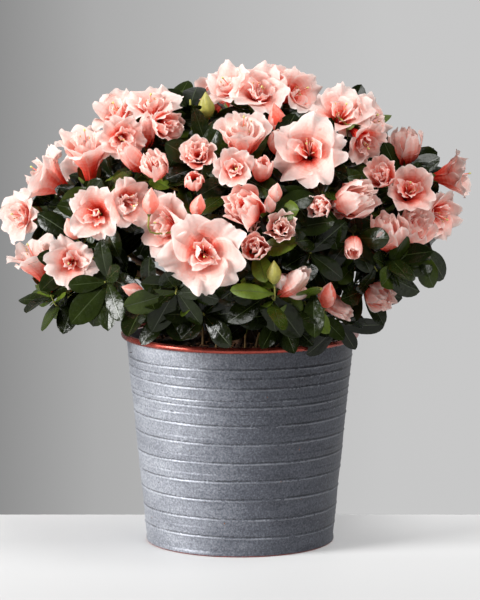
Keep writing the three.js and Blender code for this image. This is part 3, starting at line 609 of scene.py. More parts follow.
def twig_to(shoot, place):
    """A twig from a place on the twigs already grown to a shoot."""
    neck = shoot["foot"] - shoot["axis"] * TWIG["straight"]
    path = Path(place["at"], place["way"], neck, shoot["axis"])
    coarse = path.spaced(math.ceil(path.run[-1] / TWIG["stretch"]))
    coarse = np.concatenate([coarse, [shoot["foot"]]])
    return {"path": path, "points": coarse, "place": place, "end": shoot["foot"],
            "radius": max(place["radius"] * TWIG["taper"], TWIG["tip"] + 0.2)}


def cost_from(place, shoot):
    """How long and how bent a twig from this place to this shoot is."""
    to_shoot = shoot["foot"] - place["at"]
    bend = 1 - unit(to_shoot).dot(place["way"])
    return length_of(to_shoot) * (1 + BEND_COST["share"] * bend) + BEND_COST["fixed"] * bend


def grow_twigs(mass, stretches):
    """Twigs from the mass's stem to its shoots, nearest first, as short and as straight as run clear. A
    flower head has one even where none runs clear. Returns the places that are left free."""
    start, hub = mass["entry"], mass["entry"] + mass["arriving"] * STUB
    stem = np.array([start, hub, hub + mass["arriving"]])
    places = places_on(stem, TWIG["stem"])
    nearest = sorted(mass["shoots"], key=lambda shoot: length_of(shoot["foot"] - hub))
    mass["shoots"] = []
    for shoot in nearest:
        best = sorted(places, key=lambda place: cost_from(place, shoot))[:TWIG["tries"]]
        tries = [twig_to(shoot, place) for place in best]
        clear = [twig for twig in tries if stretches.clear_of(twig["points"], twig["radius"])]
        wanted = clear + (tries if "diameter" in shoot else [])
        if not wanted:
            continue
        twig = wanted[0]
        mass["shoots"].append(shoot)
        mass["twigs"].append(twig)
        stretches.add(twig["points"], twig["radius"])
        places = [place for place in places if place is not twig["place"]]
        places += places_on(twig["points"], twig["radius"])
    return places


def side_shoots(places, heads, taken, draw):
    """Short side shoots from the places that the twigs leave free, each with a whorl of leaves."""
    shoots = []
    for place in places:
        outward = unit(place["at"] - HEART)
        sideways = unit(vec(draw() - 0.5, draw() - 0.5, draw() - 0.3))
        axis = unit(place["way"] * 0.45 + outward * 0.55 + sideways * 0.9)
        long = lerp(*SIDE_SHOOT["length"], draw())
        foot = place["at"] + unit(place["way"] + axis) * long
        inmost, outmost = SIDE_SHOOT["depths"]
        if not inmost < depth_in_crown(foot) < outmost or foot[2] < COMPOST_TOP + SIDE_SHOOT["over_compost"]:
            continue
        if crowded(foot, taken, SIDE_ROOM) or in_a_head(foot, heads, SIDE_ROOM):
            continue
        taken.append(foot)
        shoots.append({"foot": foot, "axis": axis, "place": place})
    return shoots


# ---- Leaves ----
def whorl(shoot, index, count):
    """The whorl of leaves round a shoot's tip, with the numbers that shape each."""
    draw = random_stream(SEED + 101 * (index + 1))
    axis = shoot["axis"]
    side, other = across(axis)
    start = draw() * 2 * math.pi
    leaves = []
    for i in range(count):
        angle = start + i * GOLDEN_ANGLE
        spread = math.radians(LEAF["spread"] + LEAF["spread_by"] * (draw() - 0.5))
        around = side * math.cos(angle) + other * math.sin(angle)
        way = unit(axis * math.cos(spread) + around * math.sin(spread) - UP * LEAF["droop"])
        face = unit(axis - way * axis.dot(way))
        size = lerp(*LEAF["size"], draw())
        root = shoot["foot"] - axis * (LEAF["below"] + LEAF["apart"] * i) - way * LEAF["sunk"]
        leaves.append({"root": root, "way": way, "face": face, "size": size})
    return leaves


LEAF_ROWS = 1 - (1 - np.linspace(0, 1, 11)) ** 1.25
LEAF_COLUMNS = np.array((-1, -0.6, -0.04, 0.04, 0.6, 1.0))
LEAF_FACES = grid_faces(len(LEAF_ROWS), len(LEAF_COLUMNS))
LEAF_FACE_COLUMN = np.arange(len(LEAF_FACES)) % (len(LEAF_COLUMNS) - 1)
RIB_COLUMN = 2
VEINS = 6
STALK_RADIUS = 0.55


def leaf_points(leaf, rng):
    """A blade: narrow at its stalk, widest past its middle, arched, folded at its rib and curled."""
    length, half = leaf["length"], leaf["width"] / 2
    share, v = LEAF_ROWS[:, None], LEAF_COLUMNS[None, :]
    outline = np.sin(math.pi * share**1.5).clip(0) ** 0.64
    wide = np.maximum(half * outline, STALK_RADIUS * (share < 0.5))
    bend = rng.uniform(0.05, 0.6)
    run = length * np.sin(bend * share) / bend
    drop = -length * (1 - np.cos(bend * share)) / bend
    fold, curl = rng.uniform(0.1, 0.4), rng.uniform(0.05, 0.3)
    wave = 0.6 * np.sin(share * 9 + rng.uniform(0, 6)) * v
    quilted = (np.abs(v) > 0.3) * (np.abs(v) < 0.9)
    quilt = -0.22 * np.cos(share * 2 * math.pi * VEINS + np.abs(v) * 2) * quilted
    rise = np.abs(v) * wide * fold - np.abs(v) ** 3 * wide * curl + wave * outline + quilt + drop
    twist = rng.normal(0, 0.35) * share
    x, z = v * wide, rise - drop
    aside = x * np.cos(twist) - z * np.sin(twist)
    above = drop + z * np.cos(twist) + x * np.sin(twist)
    side = np.cross(leaf["way"], leaf["face"])
    return (
        leaf["root"]
        + run[..., None] * leaf["way"]
        + aside[..., None] * side
        + above[..., None] * leaf["face"]
    )


BUD_MIDDLE = 0.25  # how far the middle of a head is behind its centre, as a share of its height
SIGHT_ROOM = 0.4  # room that is kept free in front of it, as a share of its greater size


def hides(point, head):
    """Whether a point stands between the eye and a small head of the front."""
    middle = head["centre"] - head["axis"] * BUD_MIDDLE * head["height"]
    sight = unit(middle - EYE)
    along = (point - EYE).dot(sight)
    aside = length_of(point - EYE - sight * along)
    return along < length_of(middle - EYE) and aside < SIGHT_ROOM * max(head["diameter"], head["height"])


def meets_planter(point, hanging):
    """Whether a leaf's point is in the compost, the rim or the wall, or below the rim without hanging."""
    radius = math.hypot(point[0], point[1])
    if point[2] < COMPOST_TOP + LEAF_ROOM["compost"] and radius < RIM_RADIUS + LEAF_ROOM["rim"]:
        return True
    if point[2] >= POT_HEIGHT + LEAF_ROOM["rim"]:
        return False
    return abs(radius - MOUTH_RADIUS - 1) < LEAF_ROOM["wall"] or (radius > MOUTH_RADIUS and not hanging)


def meets_head(point, head, own):
    """Whether a leaf's point is in a flower head, before its face, or hides a small head of the front."""
    off = point - head["centre"]
    if head is not own and length_of(off) < LEAF_ROOM["head"] * head["diameter"] + LEAF_ROOM["past_head"]:
        return True
    ahead = off.dot(head["axis"])
    aside = length_of(off - head["axis"] * ahead)
    if 0 < ahead < LEAF_ROOM["ahead"] and aside < LEAF_ROOM["face"] * head["diameter"]:
        return True
    return head["shown"] and hides(point, head)


def leaf_fits(leaf, heads, own):
    """A leaf is left out where it would leave the crown, cut the planter or come before a flower."""
    for share in LEAF_TRIED:
        point = leaf["root"] + leaf["way"] * leaf["length"] * share
        if (point < CROWN_LOW).any() or (point > CROWN_HIGH).any():
            return False
        if meets_planter(point, own["axis"][2] <= HANGING):
            return False
        if any(meets_head(point, head, own) for head in heads):
            return False
    return True


# ---- Flowers ----
SHADES = 12
FRILLS = 64  # knots of the uneven frill round a petal
LARGE_RADIUS = 16  # wider flowers have finer petals
CUP_BELOW = 0.64  # flowers less open than this are cups
STAMENS_FROM = 0.62  # and from here on their stamens show
STAMENS = 5
THROAT, PISTIL, ANTHER, SEPAL, HUSK = SHADES, SHADES + 1, SHADES + 2, SHADES + 3, SHADES + 4


def midline_at(handles, share):
    """Radius, height and slope of a petal's midline at these shares of it."""
    line = cubic(41, *np.asarray(handles, float))
    slope = np.gradient(line, axis=0)
    slope /= np.linalg.norm(slope, axis=1)[:, None]
    at, index = share * (len(line) - 1), np.arange(len(line))
    return [np.interp(at, index, values) for values in (*line.T, *slope.T)]


def petal(rng, handles, half, grid, ruffle, openness):
    """A petal in its flower's frame: points, and how far along and across it each lies.

    handles are [radius, height] of its midline's curve, and half is half its greatest width. Its end is
    broad and round, and its margin is frilled and waves up and down."""
    u = np.linspace(0, 1, grid[0])[:, None] * np.ones((1, grid[1]))
    v = np.linspace(-1, 1, grid[1])[None, :] * np.ones((grid[0], 1))
    around = np.arctan2(v, (u - 0.5) * 1.5)
    margin = np.clip(np.maximum(np.abs(v), (u - 0.3) / 0.7), 0, 1) ** 3 * smooth(0.15, 0.6, u)
    phases = rng.uniform(0, 2 * math.pi, 4)
    frill = np.interp(around, np.linspace(-math.pi, math.pi, FRILLS), rng.normal(0, 1, FRILLS))
    lobe = smooth(0.3, 0.7, openness)

    # How far along its midline each point lies: less at the sides, with a frilled edge and a notch.
    share = u * (1 - lerp(0.17, 0.24, lobe) * np.abs(v) ** 3 * smooth(0.25, 1, u))
    share += 0.014 * margin**2 * frill - 0.028 * margin * (1 + np.sin(4.3 * around + phases[3]))
    notch = 0.035 * np.exp(-((v / 0.14) ** 2)) * smooth(0.7, 1, u)
    radius, height, out, up = midline_at(handles, np.clip(share - notch, 0, 1))

    # How far to the side of it, round a bow that is flatter in an open flower.
    wide = half * (0.07 + 0.93 * smooth(0, 0.68, u) ** 1.15)
    wide = wide * (1 - lerp(0.14, 0.2, lobe) * smooth(0.75, 1, u)) * (1 + 0.016 * margin * frill)
    bow = np.maximum(radius, 0.3 * half) * lerp(1.05, 3.4, openness * u)
    turn = np.clip(wide * v / bow, -1.5, 1.5)
    tangent = bow * np.sin(turn)

    # How far off it: the bow, the margin's waves, a skew and a shallow channel along its middle.
    waves = 0.5 * np.sin(3.7 * around + phases[0]) + 0.35 * np.sin(6.3 * around + phases[1])
    waves += 0.15 * np.sin(11.7 * around + phases[2]) + 0.13 * frill * margin
    skew = 0.09 + rng.normal(0, 0.16)
    lift = bow * (1 - np.cos(turn)) + ruffle * margin * waves + skew * half * v * smooth(0.1, 0.7, u)
    lift -= 0.07 * half * np.exp(-((v / 0.2) ** 2)) * (1 - u)
    return np.stack([radius - up * lift, tangent, height + out * lift], axis=-1), u, v


def turn_about(points, angle):
    """Points turned about Z."""
    c, s = math.cos(angle), math.sin(angle)
    x, y = points[..., 0], points[..., 1]
    return np.stack([x * c - y * s, x * s + y * c, points[..., 2]], axis=-1)


def as_shades(tone):
    """The nearest petal shade to each tone from 0 to 1."""
    return np.clip(np.rint(tone * (SHADES - 1)), 0, SHADES - 1).astype(int).ravel()


def petal_shades(u, v, tint_and_painted_light, rng):
    """The plain shade of each face of a petal: deep in the throat, light at its margin, and lighter or deeper
    all over by the head's tint, which also carries painted light and shade.
    """
    face_u = (u[:-1, :-1] + u[1:, 1:]) / 2
    face_v = (v[:-1, :-1] + v[1:, 1:]) / 2
    # The head's tint lightens or deepens the petal; it carries painted light and shade as well as its own
    # tint.
    tone = 0.04 + 0.74 * smooth(0.08, 0.86, face_u) + tint_and_painted_light * 0.13
    tone += 0.12 * (np.abs(face_v) ** 2) * face_u
    tone += 0.06 * np.sin(9 * face_v + rng.uniform(0, 6)) * (1 - face_u) * face_u * 4
    tone += 0.22 * smooth(0.84, 1, np.maximum(np.abs(face_v), face_u)) * face_u
    return as_shades(tone + rng.normal(0, 0.012, tone.shape))


class Flower:
    """A flower head, whose parts are added to a pile."""

    def __init__(self, pile, head, rng):
        self.pile, self.rng = pile, rng
        self.foot, self.axis, self.tint_and_painted_light = head["foot"], head["axis"], head["tint_and_painted_light"]
        self.radius, self.height, self.is_open = head["diameter"] / 2, head["height"], head["open"]
        self.roll = 0

    def place(self, points, angle=0):
        """Points of the flower's own frame, turned by an angle about its axis and put on its foot."""
        side, other = across(self.axis)
        x, y, z = turn_about(turn_about(points.reshape(-1, 3), angle), self.roll).T
        return self.foot + np.outer(x, side) + np.outer(y, other) + np.outer(z, self.axis)

    def add_petal(self, shape, angle, sway, tint_and_painted_light):
        """A petal at an angle round the flower, give or take its sway. One with no paleness is a sepal."""
        points, u, v = petal(self.rng, **shape)
        placed = self.place(points, angle + self.rng.normal(0, sway))
        shades = SEPAL if tint_and_painted_light is None else petal_shades(u, v, tint_and_painted_light, self.rng)
        self.pile.add(placed, grid_faces(*u.shape), shades)

    def add_ring(self, k, ring):
        """The k-th ring of petals from the outside. The inner ones stand up more."""
        draw, radius = self.rng.uniform, self.radius
        for i in range(ring["count"]):
            tilt = draw(0.08, 0.26) * radius if k else 0
            handles = self.ring_handles(ring["size"] * draw(0.94, 1.04))
            handles[3] = (handles[3][0] - 0.5 * tilt, handles[3][1] + tilt)
            shape = {"handles": handles, "half": ring["half"] * radius, "grid": ring["grid"],
                     "ruffle": radius * draw(0.1, 0.2), "openness": self.is_open}
            self.add_petal(shape, 2 * math.pi * (i + 0.5 * k) / ring["count"], 0.1 + 0.3 * k, self.tint_and_painted_light)

    def ring_handles(self, size):
        """The midline of one petal in a ring. size shrinks the ring, and an open flower's bend outwards."""
        flat = smooth(0.42, 0.72, self.is_open)
        r, h = self.radius * size, self.height * lerp(1, 0.96, 1 - size)
        loose = self.rng.normal(0, 0.1) * self.radius * flat
        end = lerp(0.98, 0.8, smooth(0.6, 1, self.is_open)) * h + loose
        return [
            (0.05 * self.radius, 0),
            (lerp(0.66, 0.12, flat) * r, lerp(0.08, 0.6, flat) * h),
            (lerp(1.1, 0.5, flat) * r, lerp(0.55, 0.98, flat) * h + 0.4 * loose),
            (lerp(0.66, 1.03, flat) * r * self.rng.uniform(0.9, 1.06), end),
        ]

    def rings(self):
        """The rings of an open flower, from the outside in. A cup has three, one inside another."""
        rng = self.rng
        outer, inner = ((15, 25), (11, 15)) if self.radius > LARGE_RADIUS else ((12, 15), (11, 11))
        rings = [{"count": 5, "size": 1.0, "half": 0.6, "grid": outer}]
        if self.is_open < CUP_BELOW:
            rings.append({"count": 4, "size": rng.uniform(0.6, 0.74), "half": 0.46, "grid": inner})
            rings.append({"count": 3, "size": rng.uniform(0.34, 0.46), "half": 0.3, "grid": inner})
        elif rng.random() < 0.7:
            count = int(rng.integers(1, 4))
            rings.append({"count": count, "size": rng.uniform(0.42, 0.6), "half": 0.34, "grid": inner})
        return rings

    def add_bloom(self):
        """An open flower: rings of broad petals, small curled ones in its throat, and stamens."""
        self.roll = self.rng.uniform(0, 2 * math.pi)
        for k, ring in enumerate(self.rings()):
            self.add_ring(k, ring)
        self.add_petaloids()
        if self.is_open >= STAMENS_FROM:
            self.add_stamens()

    def add_petaloids(self):
        """Small curled petals that stand in the throat of a double flower."""
        draw, radius, height = self.rng.uniform, self.radius, self.height
        for i in range(self.rng.integers(3, 7)):
            reach = draw(0.16, 0.5) * radius
            top = height * draw(0.8, 0.98) + 0.14 * radius
            end = (reach + draw(-0.3, 0.16) * radius, top)
            handles = [(0.04 * radius, 0.25 * height), (0.25 * reach, 0.7 * height), (reach, 0.85 * top), end]
            shape = {"handles": handles, "half": draw(0.14, 0.3) * radius, "grid": (8, 9),
                     "ruffle": 0.09 * radius, "openness": 0.2}
            self.add_petal(shape, i * GOLDEN_ANGLE, 0.3, self.tint_and_painted_light + 0.2)

    def add_stamens(self):
        """A style with its stigma, and stamens, from the throat to just past the petals."""
        draw, radius, height = self.rng.uniform, self.radius, self.height
        for i in range(1 + STAMENS):
            style = i == 0
            lean = draw(0.04, 0.14) * radius if style else draw(0.1, 0.3) * radius
            top = height * (1.0 if style else draw(0.75, 0.95)) + 0.1 * radius
            t = np.linspace(0, 1, 6)
            line = np.stack([lean * t**2, 0 * t, lerp(0.2 * height, top, t)], axis=-1)
            line = self.place(line, draw(0, 2 * math.pi))
            stalk = tube(line, np.full(6, 0.42 if style else 0.3), 4)
            self.pile.add(*stalk, THROAT if style else SHADES - 2)
            tip = np.array([line[-1], line[-1] + self.axis * (1.6 if style else 1.2)])
            self.pile.add(*tube(tip, np.full(2, 0.7 if style else 0.5), 5), PISTIL if style else ANTHER)

    def add_opening_bud(self):
        """A bud that is about to open: crinkled petals wrapped round each other, their margins showing."""
        draw, radius, height = self.rng.uniform, self.radius, self.height
        self.roll = draw(0, 2 * math.pi)
        for size, count in ((1.0, 5), (0.66, 3)):
            for i in range(count):
                r = radius * size * draw(0.92, 1.05)
                end = (draw(0.25, 0.6) * r, height * draw(0.86, 1.0))
                handles = [(0.05 * radius, 0), (0.95 * r, 0.06 * height), (1.15 * r, 0.7 * height), end]
                shape = {"handles": handles, "half": 0.8 * r, "grid": (12, 13), "ruffle": 0.12 * radius,
                         "openness": 0.0}
                self.add_petal(shape, 2 * math.pi * i / count, 0.1, self.tint_and_painted_light - 0.3)

    def add_bud(self):
        """A closed bud: petals wound round each other, each margin standing a little proud."""
        rows, columns = 15, 25
        share = np.linspace(0, 1, rows)[:, None]
        angle = np.linspace(0, 2 * math.pi, columns, endpoint=False)[None, :]
        wound = (angle / (2 * math.pi) * 3 + 0.55 * share) % 1
        profile = np.sin(math.pi * share**0.8).clip(0) ** 0.85 * (1.1 - 0.4 * share) + 0.02
        folds = 0.28 * wound * smooth(0.15, 0.5, share) + 0.05 * np.sin(7 * angle + 5 * share)
        wide = self.radius * profile * (1 + folds)
        up = self.height * share + 0 * angle
        points = np.stack([wide * np.cos(angle), wide * np.sin(angle), up], axis=-1)
        # The head's tint here also carries painted light and shade.
        tone = 0.33 + 0.4 * wound**3 + 0.2 * share + self.tint_and_painted_light * 0.35
        tone = (tone + 0 * angle)[:-1] + self.rng.normal(0, 0.02, (rows - 1, columns))
        shades = HUSK if self.tint_and_painted_light <= GREEN_BUD else as_shades(tone)
        placed = self.place(points, self.rng.uniform(0, 6))
        self.pile.add(placed, grid_faces(rows, columns, closed=True), shades)

    def add_sepals(self):
        """Small green sepals that clasp the foot of a flower."""
        self.roll = 0
        radius = self.radius
        long = (0.7 if self.is_open < BUD_BELOW else 0.55) * radius + 2
        for i in range(5):
            size = long * self.rng.uniform(0.8, 1.2)
            handles = [(0.8, -1.5), (1.6, 0.2), (0.3 * radius + 0.8, 0.45 * size), (0.35 * radius + 1, size)]
            shape = {"handles": handles, "half": 0.14 * radius + 0.9, "grid": (5, 5), "ruffle": 0.2,
                     "openness": 0.0}
            self.add_petal(shape, 2 * math.pi * i / 5, 0.1, None)

    def grow(self):
        if 2 * self.radius < TIGHT_BUD:
            self.add_bud()
        elif self.is_open < BUD_BELOW:
            self.add_opening_bud()
        else:
            self.add_bloom()
        self.add_sepals()


# ---- Materials ----
def srgb(*levels):
    """A colour as Blender holds it, from 0 to 255 levels as a screen shows it."""
    return tuple(
        (c / 12.92 if c <= 0.04045 else ((c + 0.055) / 1.055) ** 2.4) for c in (v / 255 for v in levels)
    ) + (1.0,)


def greys(stops):
    return [(at, srgb(level, level, level)) for at, level in stops]


def scaled(colour, share):
    """A colour made lighter or darker."""
    return tuple(min(1, c * share) for c in colour[:3]) + (1.0,)


class Nodes:
    """A tree of Blender nodes, with short calls to add and to join them."""

    def __init__(self, tree):
        self.tree = tree

    def put(self, value, socket):
        """Joins a socket to another, or sets a value on it."""
        if isinstance(value, bpy.types.NodeSocket):
            self.tree.links.new(value, socket)
        else:
            socket.default_value = value

    def node(self, kind, inputs=None, **settings):
        node = self.tree.nodes.new(kind)
        for key, value in settings.items():
            setattr(node, key, value)
        for key, value in (inputs or {}).items():
            self.put(value, node.inputs[key])
        return node

    def ramp(self, value, *stops):
        """A colour ramp: stops are (place, colour)."""
        node = self.node("ShaderNodeValToRGB", {"Fac": value})
        elements = node.color_ramp.elements
        while len(elements) < len(stops):
            elements.new(0.5)
        for element, (place, colour) in zip(elements, stops):
            element.position, element.color = place, colour
        return node.outputs["Color"]

    def mapped(self, value, low, high, to_low=0.0, to_high=1.0, **settings):
        """A value of low to high brought to to_low to to_high."""
        inputs = {"Value": value, "From Min": low, "From Max": high, "To Min": to_low, "To Max": to_high}
        return self.node("ShaderNodeMapRange", inputs, **settings).outputs[0]

    def along(self, axis, place):
        return self.node("ShaderNodeSeparateXYZ", {"Vector": place}).outputs[axis]

    def mix(self, share, one, two):
        return self.node("ShaderNodeMix", {0: share, 6: one, 7: two}, data_type="RGBA").outputs[2]


class Shader(Nodes):
    """A material. Its numbers are set on the shader's sockets, as roughness or specular_ior_level."""

    def __init__(self, name, **numbers):
        self.material = bpy.data.materials.new(name)
        self.material.use_nodes = True
        super().__init__(self.material.node_tree)
        self.skin = self.tree.nodes["Principled BSDF"]
        for key, number in numbers.items():
            self.skin.inputs[key.replace("_", " ").title().replace("Ior", "IOR")].default_value = number
        self.place = self.tree.nodes.new("ShaderNodeTexCoord").outputs["Object"]

    def noise(self, scale, detail=3.0, roughness=0.5, stretch=(1, 1, 1), distortion=0.0):
        place = self.node("ShaderNodeMapping", {"Vector": self.place, "Scale": stretch}).outputs[0]
        inputs = {"Vector": place, "Scale": scale, "Detail": detail, "Roughness": roughness,
                  "Distortion": distortion}
        return self.node("ShaderNodeTexNoise", inputs).outputs["Fac"]

    def spread(self, value, low, high):
        """A noise of about 0.3 to 0.7 spread over low to high."""
        return self.mapped(value, 0.3, 0.7, low, high)

    def sum(self, value, share, more):
        """This share of a value, and more."""
        return self.node("ShaderNodeMath", {0: value, 1: share, 2: more}, operation="MULTIPLY_ADD").outputs[0]

    def feed(self, name, socket):
        self.tree.links.new(socket, self.skin.inputs[name])

    def let_through(self, colour, share):
        """Lets this share of the light through, in this colour."""
        through = self.node("ShaderNodeBsdfTranslucent", {"Color": colour}).outputs[0]
        mix = self.node("ShaderNodeMixShader", {0: share, 1: self.skin.outputs[0], 2: through}).outputs[0]
        self.tree.links.new(mix, self.tree.nodes["Material Output"].inputs["Surface"])

    def bump(self, height, strength, distance):
        inputs = {"Height": height, "Strength": strength, "Distance": distance}
        self.feed("Normal", self.node("ShaderNodeBump", inputs).outputs[0])

    def grained(self, noise, dark, light):
        """Base colour from dark to light with a noise."""
        self.feed("Base Color", self.ramp(noise, (0.3, dark), (0.7, light)))


PETAL_RAMP = [
    (0.0, (206, 30, 22)), (0.14, (232, 66, 48)), (0.3, (244, 110, 88)), (0.45, (251, 156, 139)),
    (0.62, (253, 194, 181)), (0.8, (253, 216, 207)), (1.0, (252, 233, 226)),
]


def petal_shader(name, level):
    places, colours = zip(*PETAL_RAMP)
    colour = srgb(*(np.interp(level, places, channel) for channel in zip(*colours)))
    shader = Shader(name, roughness=0.55, specular_ior_level=0.2, sheen_weight=0.05, sheen_roughness=0.5)
    mottle = shader.noise(260, detail=4)
    face = shader.ramp(mottle, (0.3, scaled(colour, 0.93)), (0.7, scaled(colour, 1.05)))
    shader.feed("Base Color", face)
    shader.let_through(face, 0.46)
    shader.bump(shader.noise(700, detail=2), 0.12, 0.0006)
    return shader.material


def leaf_shader(name, colour, gloss):
    shader = Shader(name, specular_ior_level=0.21)
    patches = shader.noise(90, detail=4, roughness=0.6)
    stops = [(0.32, scaled(colour, 0.72)), (0.52, colour), (0.72, scaled(colour, 1.3))]
    shader.feed("Base Color", shader.ramp(patches, *stops))
    shader.feed("Roughness", shader.spread(shader.noise(240), gloss - 0.05, gloss + 0.07))
    shader.bump(shader.noise(230, detail=3), 0.35, 0.0016)
    return shader.material


def twig_shader(name, dark, light):
    shader = Shader(name, roughness=0.75)
    grain = shader.noise(320, detail=5, stretch=(1, 1, 0.3))
    shader.grained(grain, srgb(*dark), srgb(*light))
    shader.bump(grain, 0.5, 0.0008)
    return shader.material


def plain_shader(name, colour, roughness=0.5):
    shader = Shader(name, roughness=roughness)
    base = srgb(*colour)
    shader.grained(shader.noise(500, detail=2), scaled(base, 0.85), scaled(base, 1.15))
    return shader.material


ZINC_RAMP = [
    (0.0, (52, 54, 62)), (0.35, (88, 91, 100)), (0.65, (128, 131, 139)), (1, (176, 179, 186)),
]


def zinc_shader(name, level, worn_and_highlit):
    """Dull weathered zinc: a chalky patina in fine grains over dark slate, with rust specks. Painted light
    and shade make it lighter on the plant's left side, where the key lamp falls, and darker on its right."""
    shader = Shader(name, metallic=0.35)
    clouds = shader.noise(20, detail=5, roughness=0.6, stretch=(1, 1, 3), distortion=0.4)
    grains = shader.noise(680, detail=2, roughness=0.6)
    # Painted light and shade: lighter towards the plant's left, where the key lamp falls, darker to its
    # right.
    side = shader.along("X", shader.place)
    painted_side_light = shader.mapped(side, -0.07, 0.05, 0.3, -0.42, interpolation_type="SMOOTHSTEP")
    chalk_and_side_light = shader.sum(grains, 1.1, shader.sum(clouds, 0.7, painted_side_light))
    stops = [(at, scaled(srgb(*colour), level)) for at, colour in ZINC_RAMP]
    base = shader.ramp(shader.mapped(chalk_and_side_light, 0.3, 1.5), *stops)
    speck = shader.ramp(shader.noise(210, detail=2), (0.76, srgb(0, 0, 0)), (0.78, srgb(255, 255, 255)))
    # Wear and a painted highlight along the hoops' crests.
    base = shader.mix(worn_and_highlit, base, srgb(190, 193, 200))
    shader.feed("Base Color", shader.mix(speck, base, srgb(128, 84, 56)))
    shader.feed("Roughness", shader.spread(clouds, 0.42, 0.56))
    shader.bump(grains, 0.25, 0.0008)
    return shader.material


def copper_shader():
    shader = Shader("copper", metallic=0.7)
    tarnish = shader.noise(60, detail=5, stretch=(1, 1, 2))
    shader.grained(tarnish, srgb(120, 40, 32), srgb(172, 78, 64))
    shader.feed("Roughness", shader.spread(shader.noise(200), 0.2, 0.36))
    shader.bump(shader.noise(150, detail=3), 0.25, 0.0008)
    return shader.material


def compost_shader(name, dark, light):
    shader = Shader(name, roughness=0.95)
    crumbs = shader.noise(300, detail=6, roughness=0.7)
    shader.grained(crumbs, srgb(*dark), srgb(*light))
    shader.bump(crumbs, 0.9, 0.002)
    return shader.material


def bark_shader():
    shader = Shader("bark", roughness=0.85)
    ridges = shader.noise(180, detail=6, roughness=0.65, stretch=(1, 1, 0.22))
    stops = [(0.3, srgb(42, 26, 16)), (0.52, srgb(88, 58, 38)), (0.72, srgb(136, 104, 76))]
    shader.feed("Base Color", shader.ramp(ridges, *stops))
    shader.bump(ridges, 0.8, 0.0016)
    return shader.material


# ---- Planter ----
WALL_TOP = POT_HEIGHT - 2 * ROLL_RADIUS + GAP
WALL_ROWS, WALL_SIDES = 290, 320
FOOT_SEAM = [(-1, 0), (0.5, 0.25), (0.8, 0.8), (0.8, 2.9), (0.35, 3.7)]  # past the foot's radius, and up
SEAM_TOP = 4.2
# A hoop's section: its share of the solid's, its width, and the groove's depth, place over it and width.
HOOP_LINE = {"proud": 0.62, "width": 0.62, "groove": 0.7, "over": 1.5, "groove_width": 0.65}
WORN_AND_HIGHLIT_FROM, SHADED_GROOVE_FROM, BARE_BELOW = 0.28, -0.17, 0.9  # reliefs, and the height of the bare foot


def wall_radius(height):
    return lerp(FOOT_RADIUS, MOUTH_RADIUS, height / WALL_TOP)


def hoop_lines(angle, height):
    """How far the hoops stand out: each wavers and is uneven round the pot, has a groove over it, and
    there are fainter ones between them."""
    rng = np.random.default_rng(SEED)
    relief = np.zeros(np.broadcast(angle, height).shape)
    heights = [HOOPS["first"] + HOOPS["pitch"] * i for i in range(HOOPS["count"])]
    strengths = [1.0] * len(heights)
    for i in range(1, len(heights)):
        heights.append(heights[i] - HOOPS["pitch"] * rng.uniform(0.3, 0.7))
        strengths.append(rng.uniform(0.15, 0.5) if i < HOOPS["count"] / 2 else rng.uniform(0.3, 0.75))
    for at, strength in zip(heights, strengths):
        phases = rng.uniform(0, 2 * math.pi, 6)
        sway = 0.4 * np.sin(angle + phases[0]) + 0.25 * np.sin(3 * angle + phases[1])
        uneven = 0.8 + 0.2 * np.sin(2 * angle + phases[2]) * np.sin(5 * angle + phases[3])
        uneven += 0.1 * np.sin(13 * angle + phases[4])
        off = height - at - sway
        groove = np.exp(-(((off - HOOP_LINE["over"]) / HOOP_LINE["groove_width"]) ** 2))
        ridge = np.exp(-((off / HOOP_LINE["width"]) ** 2)) - HOOP_LINE["groove"] * groove
        relief += HOOPS["proud"] * HOOP_LINE["proud"] * strength * uneven * ridge
    return relief


def hoop_relief(angle, height):
    """How far the wall stands out: its hoops, and shallow dents."""
    dents = 0.12 * np.sin(4 * angle + height / 9) + 0.1 * np.sin(7 * angle - height / 6)
    fade = smooth(4, 8, height) * (1 - smooth(WALL_TOP - 8, WALL_TOP - 3, height))
    return (hoop_lines(angle, height) + dents) * fade


# Zinc of the wall's faces: a crest is lighter with wear and a painted highlight, a groove darker with painted
# shade.
PLAIN, WORN_AND_HIGHLIT_CREST, SHADED_GROOVE, BARE = 0, 1, 2, 3


def wall_tones(profile):
    """Which zinc each face of the wall has: lighter along a hoop's crest, with wear and a painted highlight,
    darker in the groove over it, with painted shade, and bare copper at the very foot."""
    rng = np.random.default_rng(SEED + 1)
    middle = (profile[:-1] + profile[1:]) / 2
    angle = (np.arange(WALL_SIDES) + 0.5)[None, :] / WALL_SIDES * 2 * math.pi
    height = middle[:, 1][:, None] * np.ones_like(angle)
    relief = hoop_lines(angle, height) + rng.normal(0, 0.05, height.shape)
    tones = np.where(relief > WORN_AND_HIGHLIT_FROM, WORN_AND_HIGHLIT_CREST, np.where(relief < SHADED_GROOVE_FROM, SHADED_GROOVE, PLAIN))
    tones[height < BARE_BELOW] = BARE
    return tones.ravel()


def build_wall(materials):
    seam = [(0, 0)] + [(FOOT_RADIUS + past, up) for past, up in FOOT_SEAM]
    outside = [(wall_radius(up), up) for up in np.linspace(SEAM_TOP, WALL_TOP, WALL_ROWS)]
    inside = [(wall_radius(WALL_TOP) - SHEET, WALL_TOP), (wall_radius(SHEET) - SHEET, SHEET), (0.01, SHEET)]
    profile = np.array(seam + outside)
    wall = Pile("planter_wall", materials["zinc"] + [materials["copper"]])
    wall.add(*turned(profile, WALL_SIDES, hoop_relief), wall_tones(profile))
    wall.add(*turned(np.array(inside), WALL_SIDES), PLAIN)
    wall.make(["planter_body"])


def rim_relief(angle, height):
    """How uneven the rolled rim is, all the way up."""
    return 0.12 * np.sin(5 * angle) + 0.07 * np.sin(17 * angle) + 0 * height


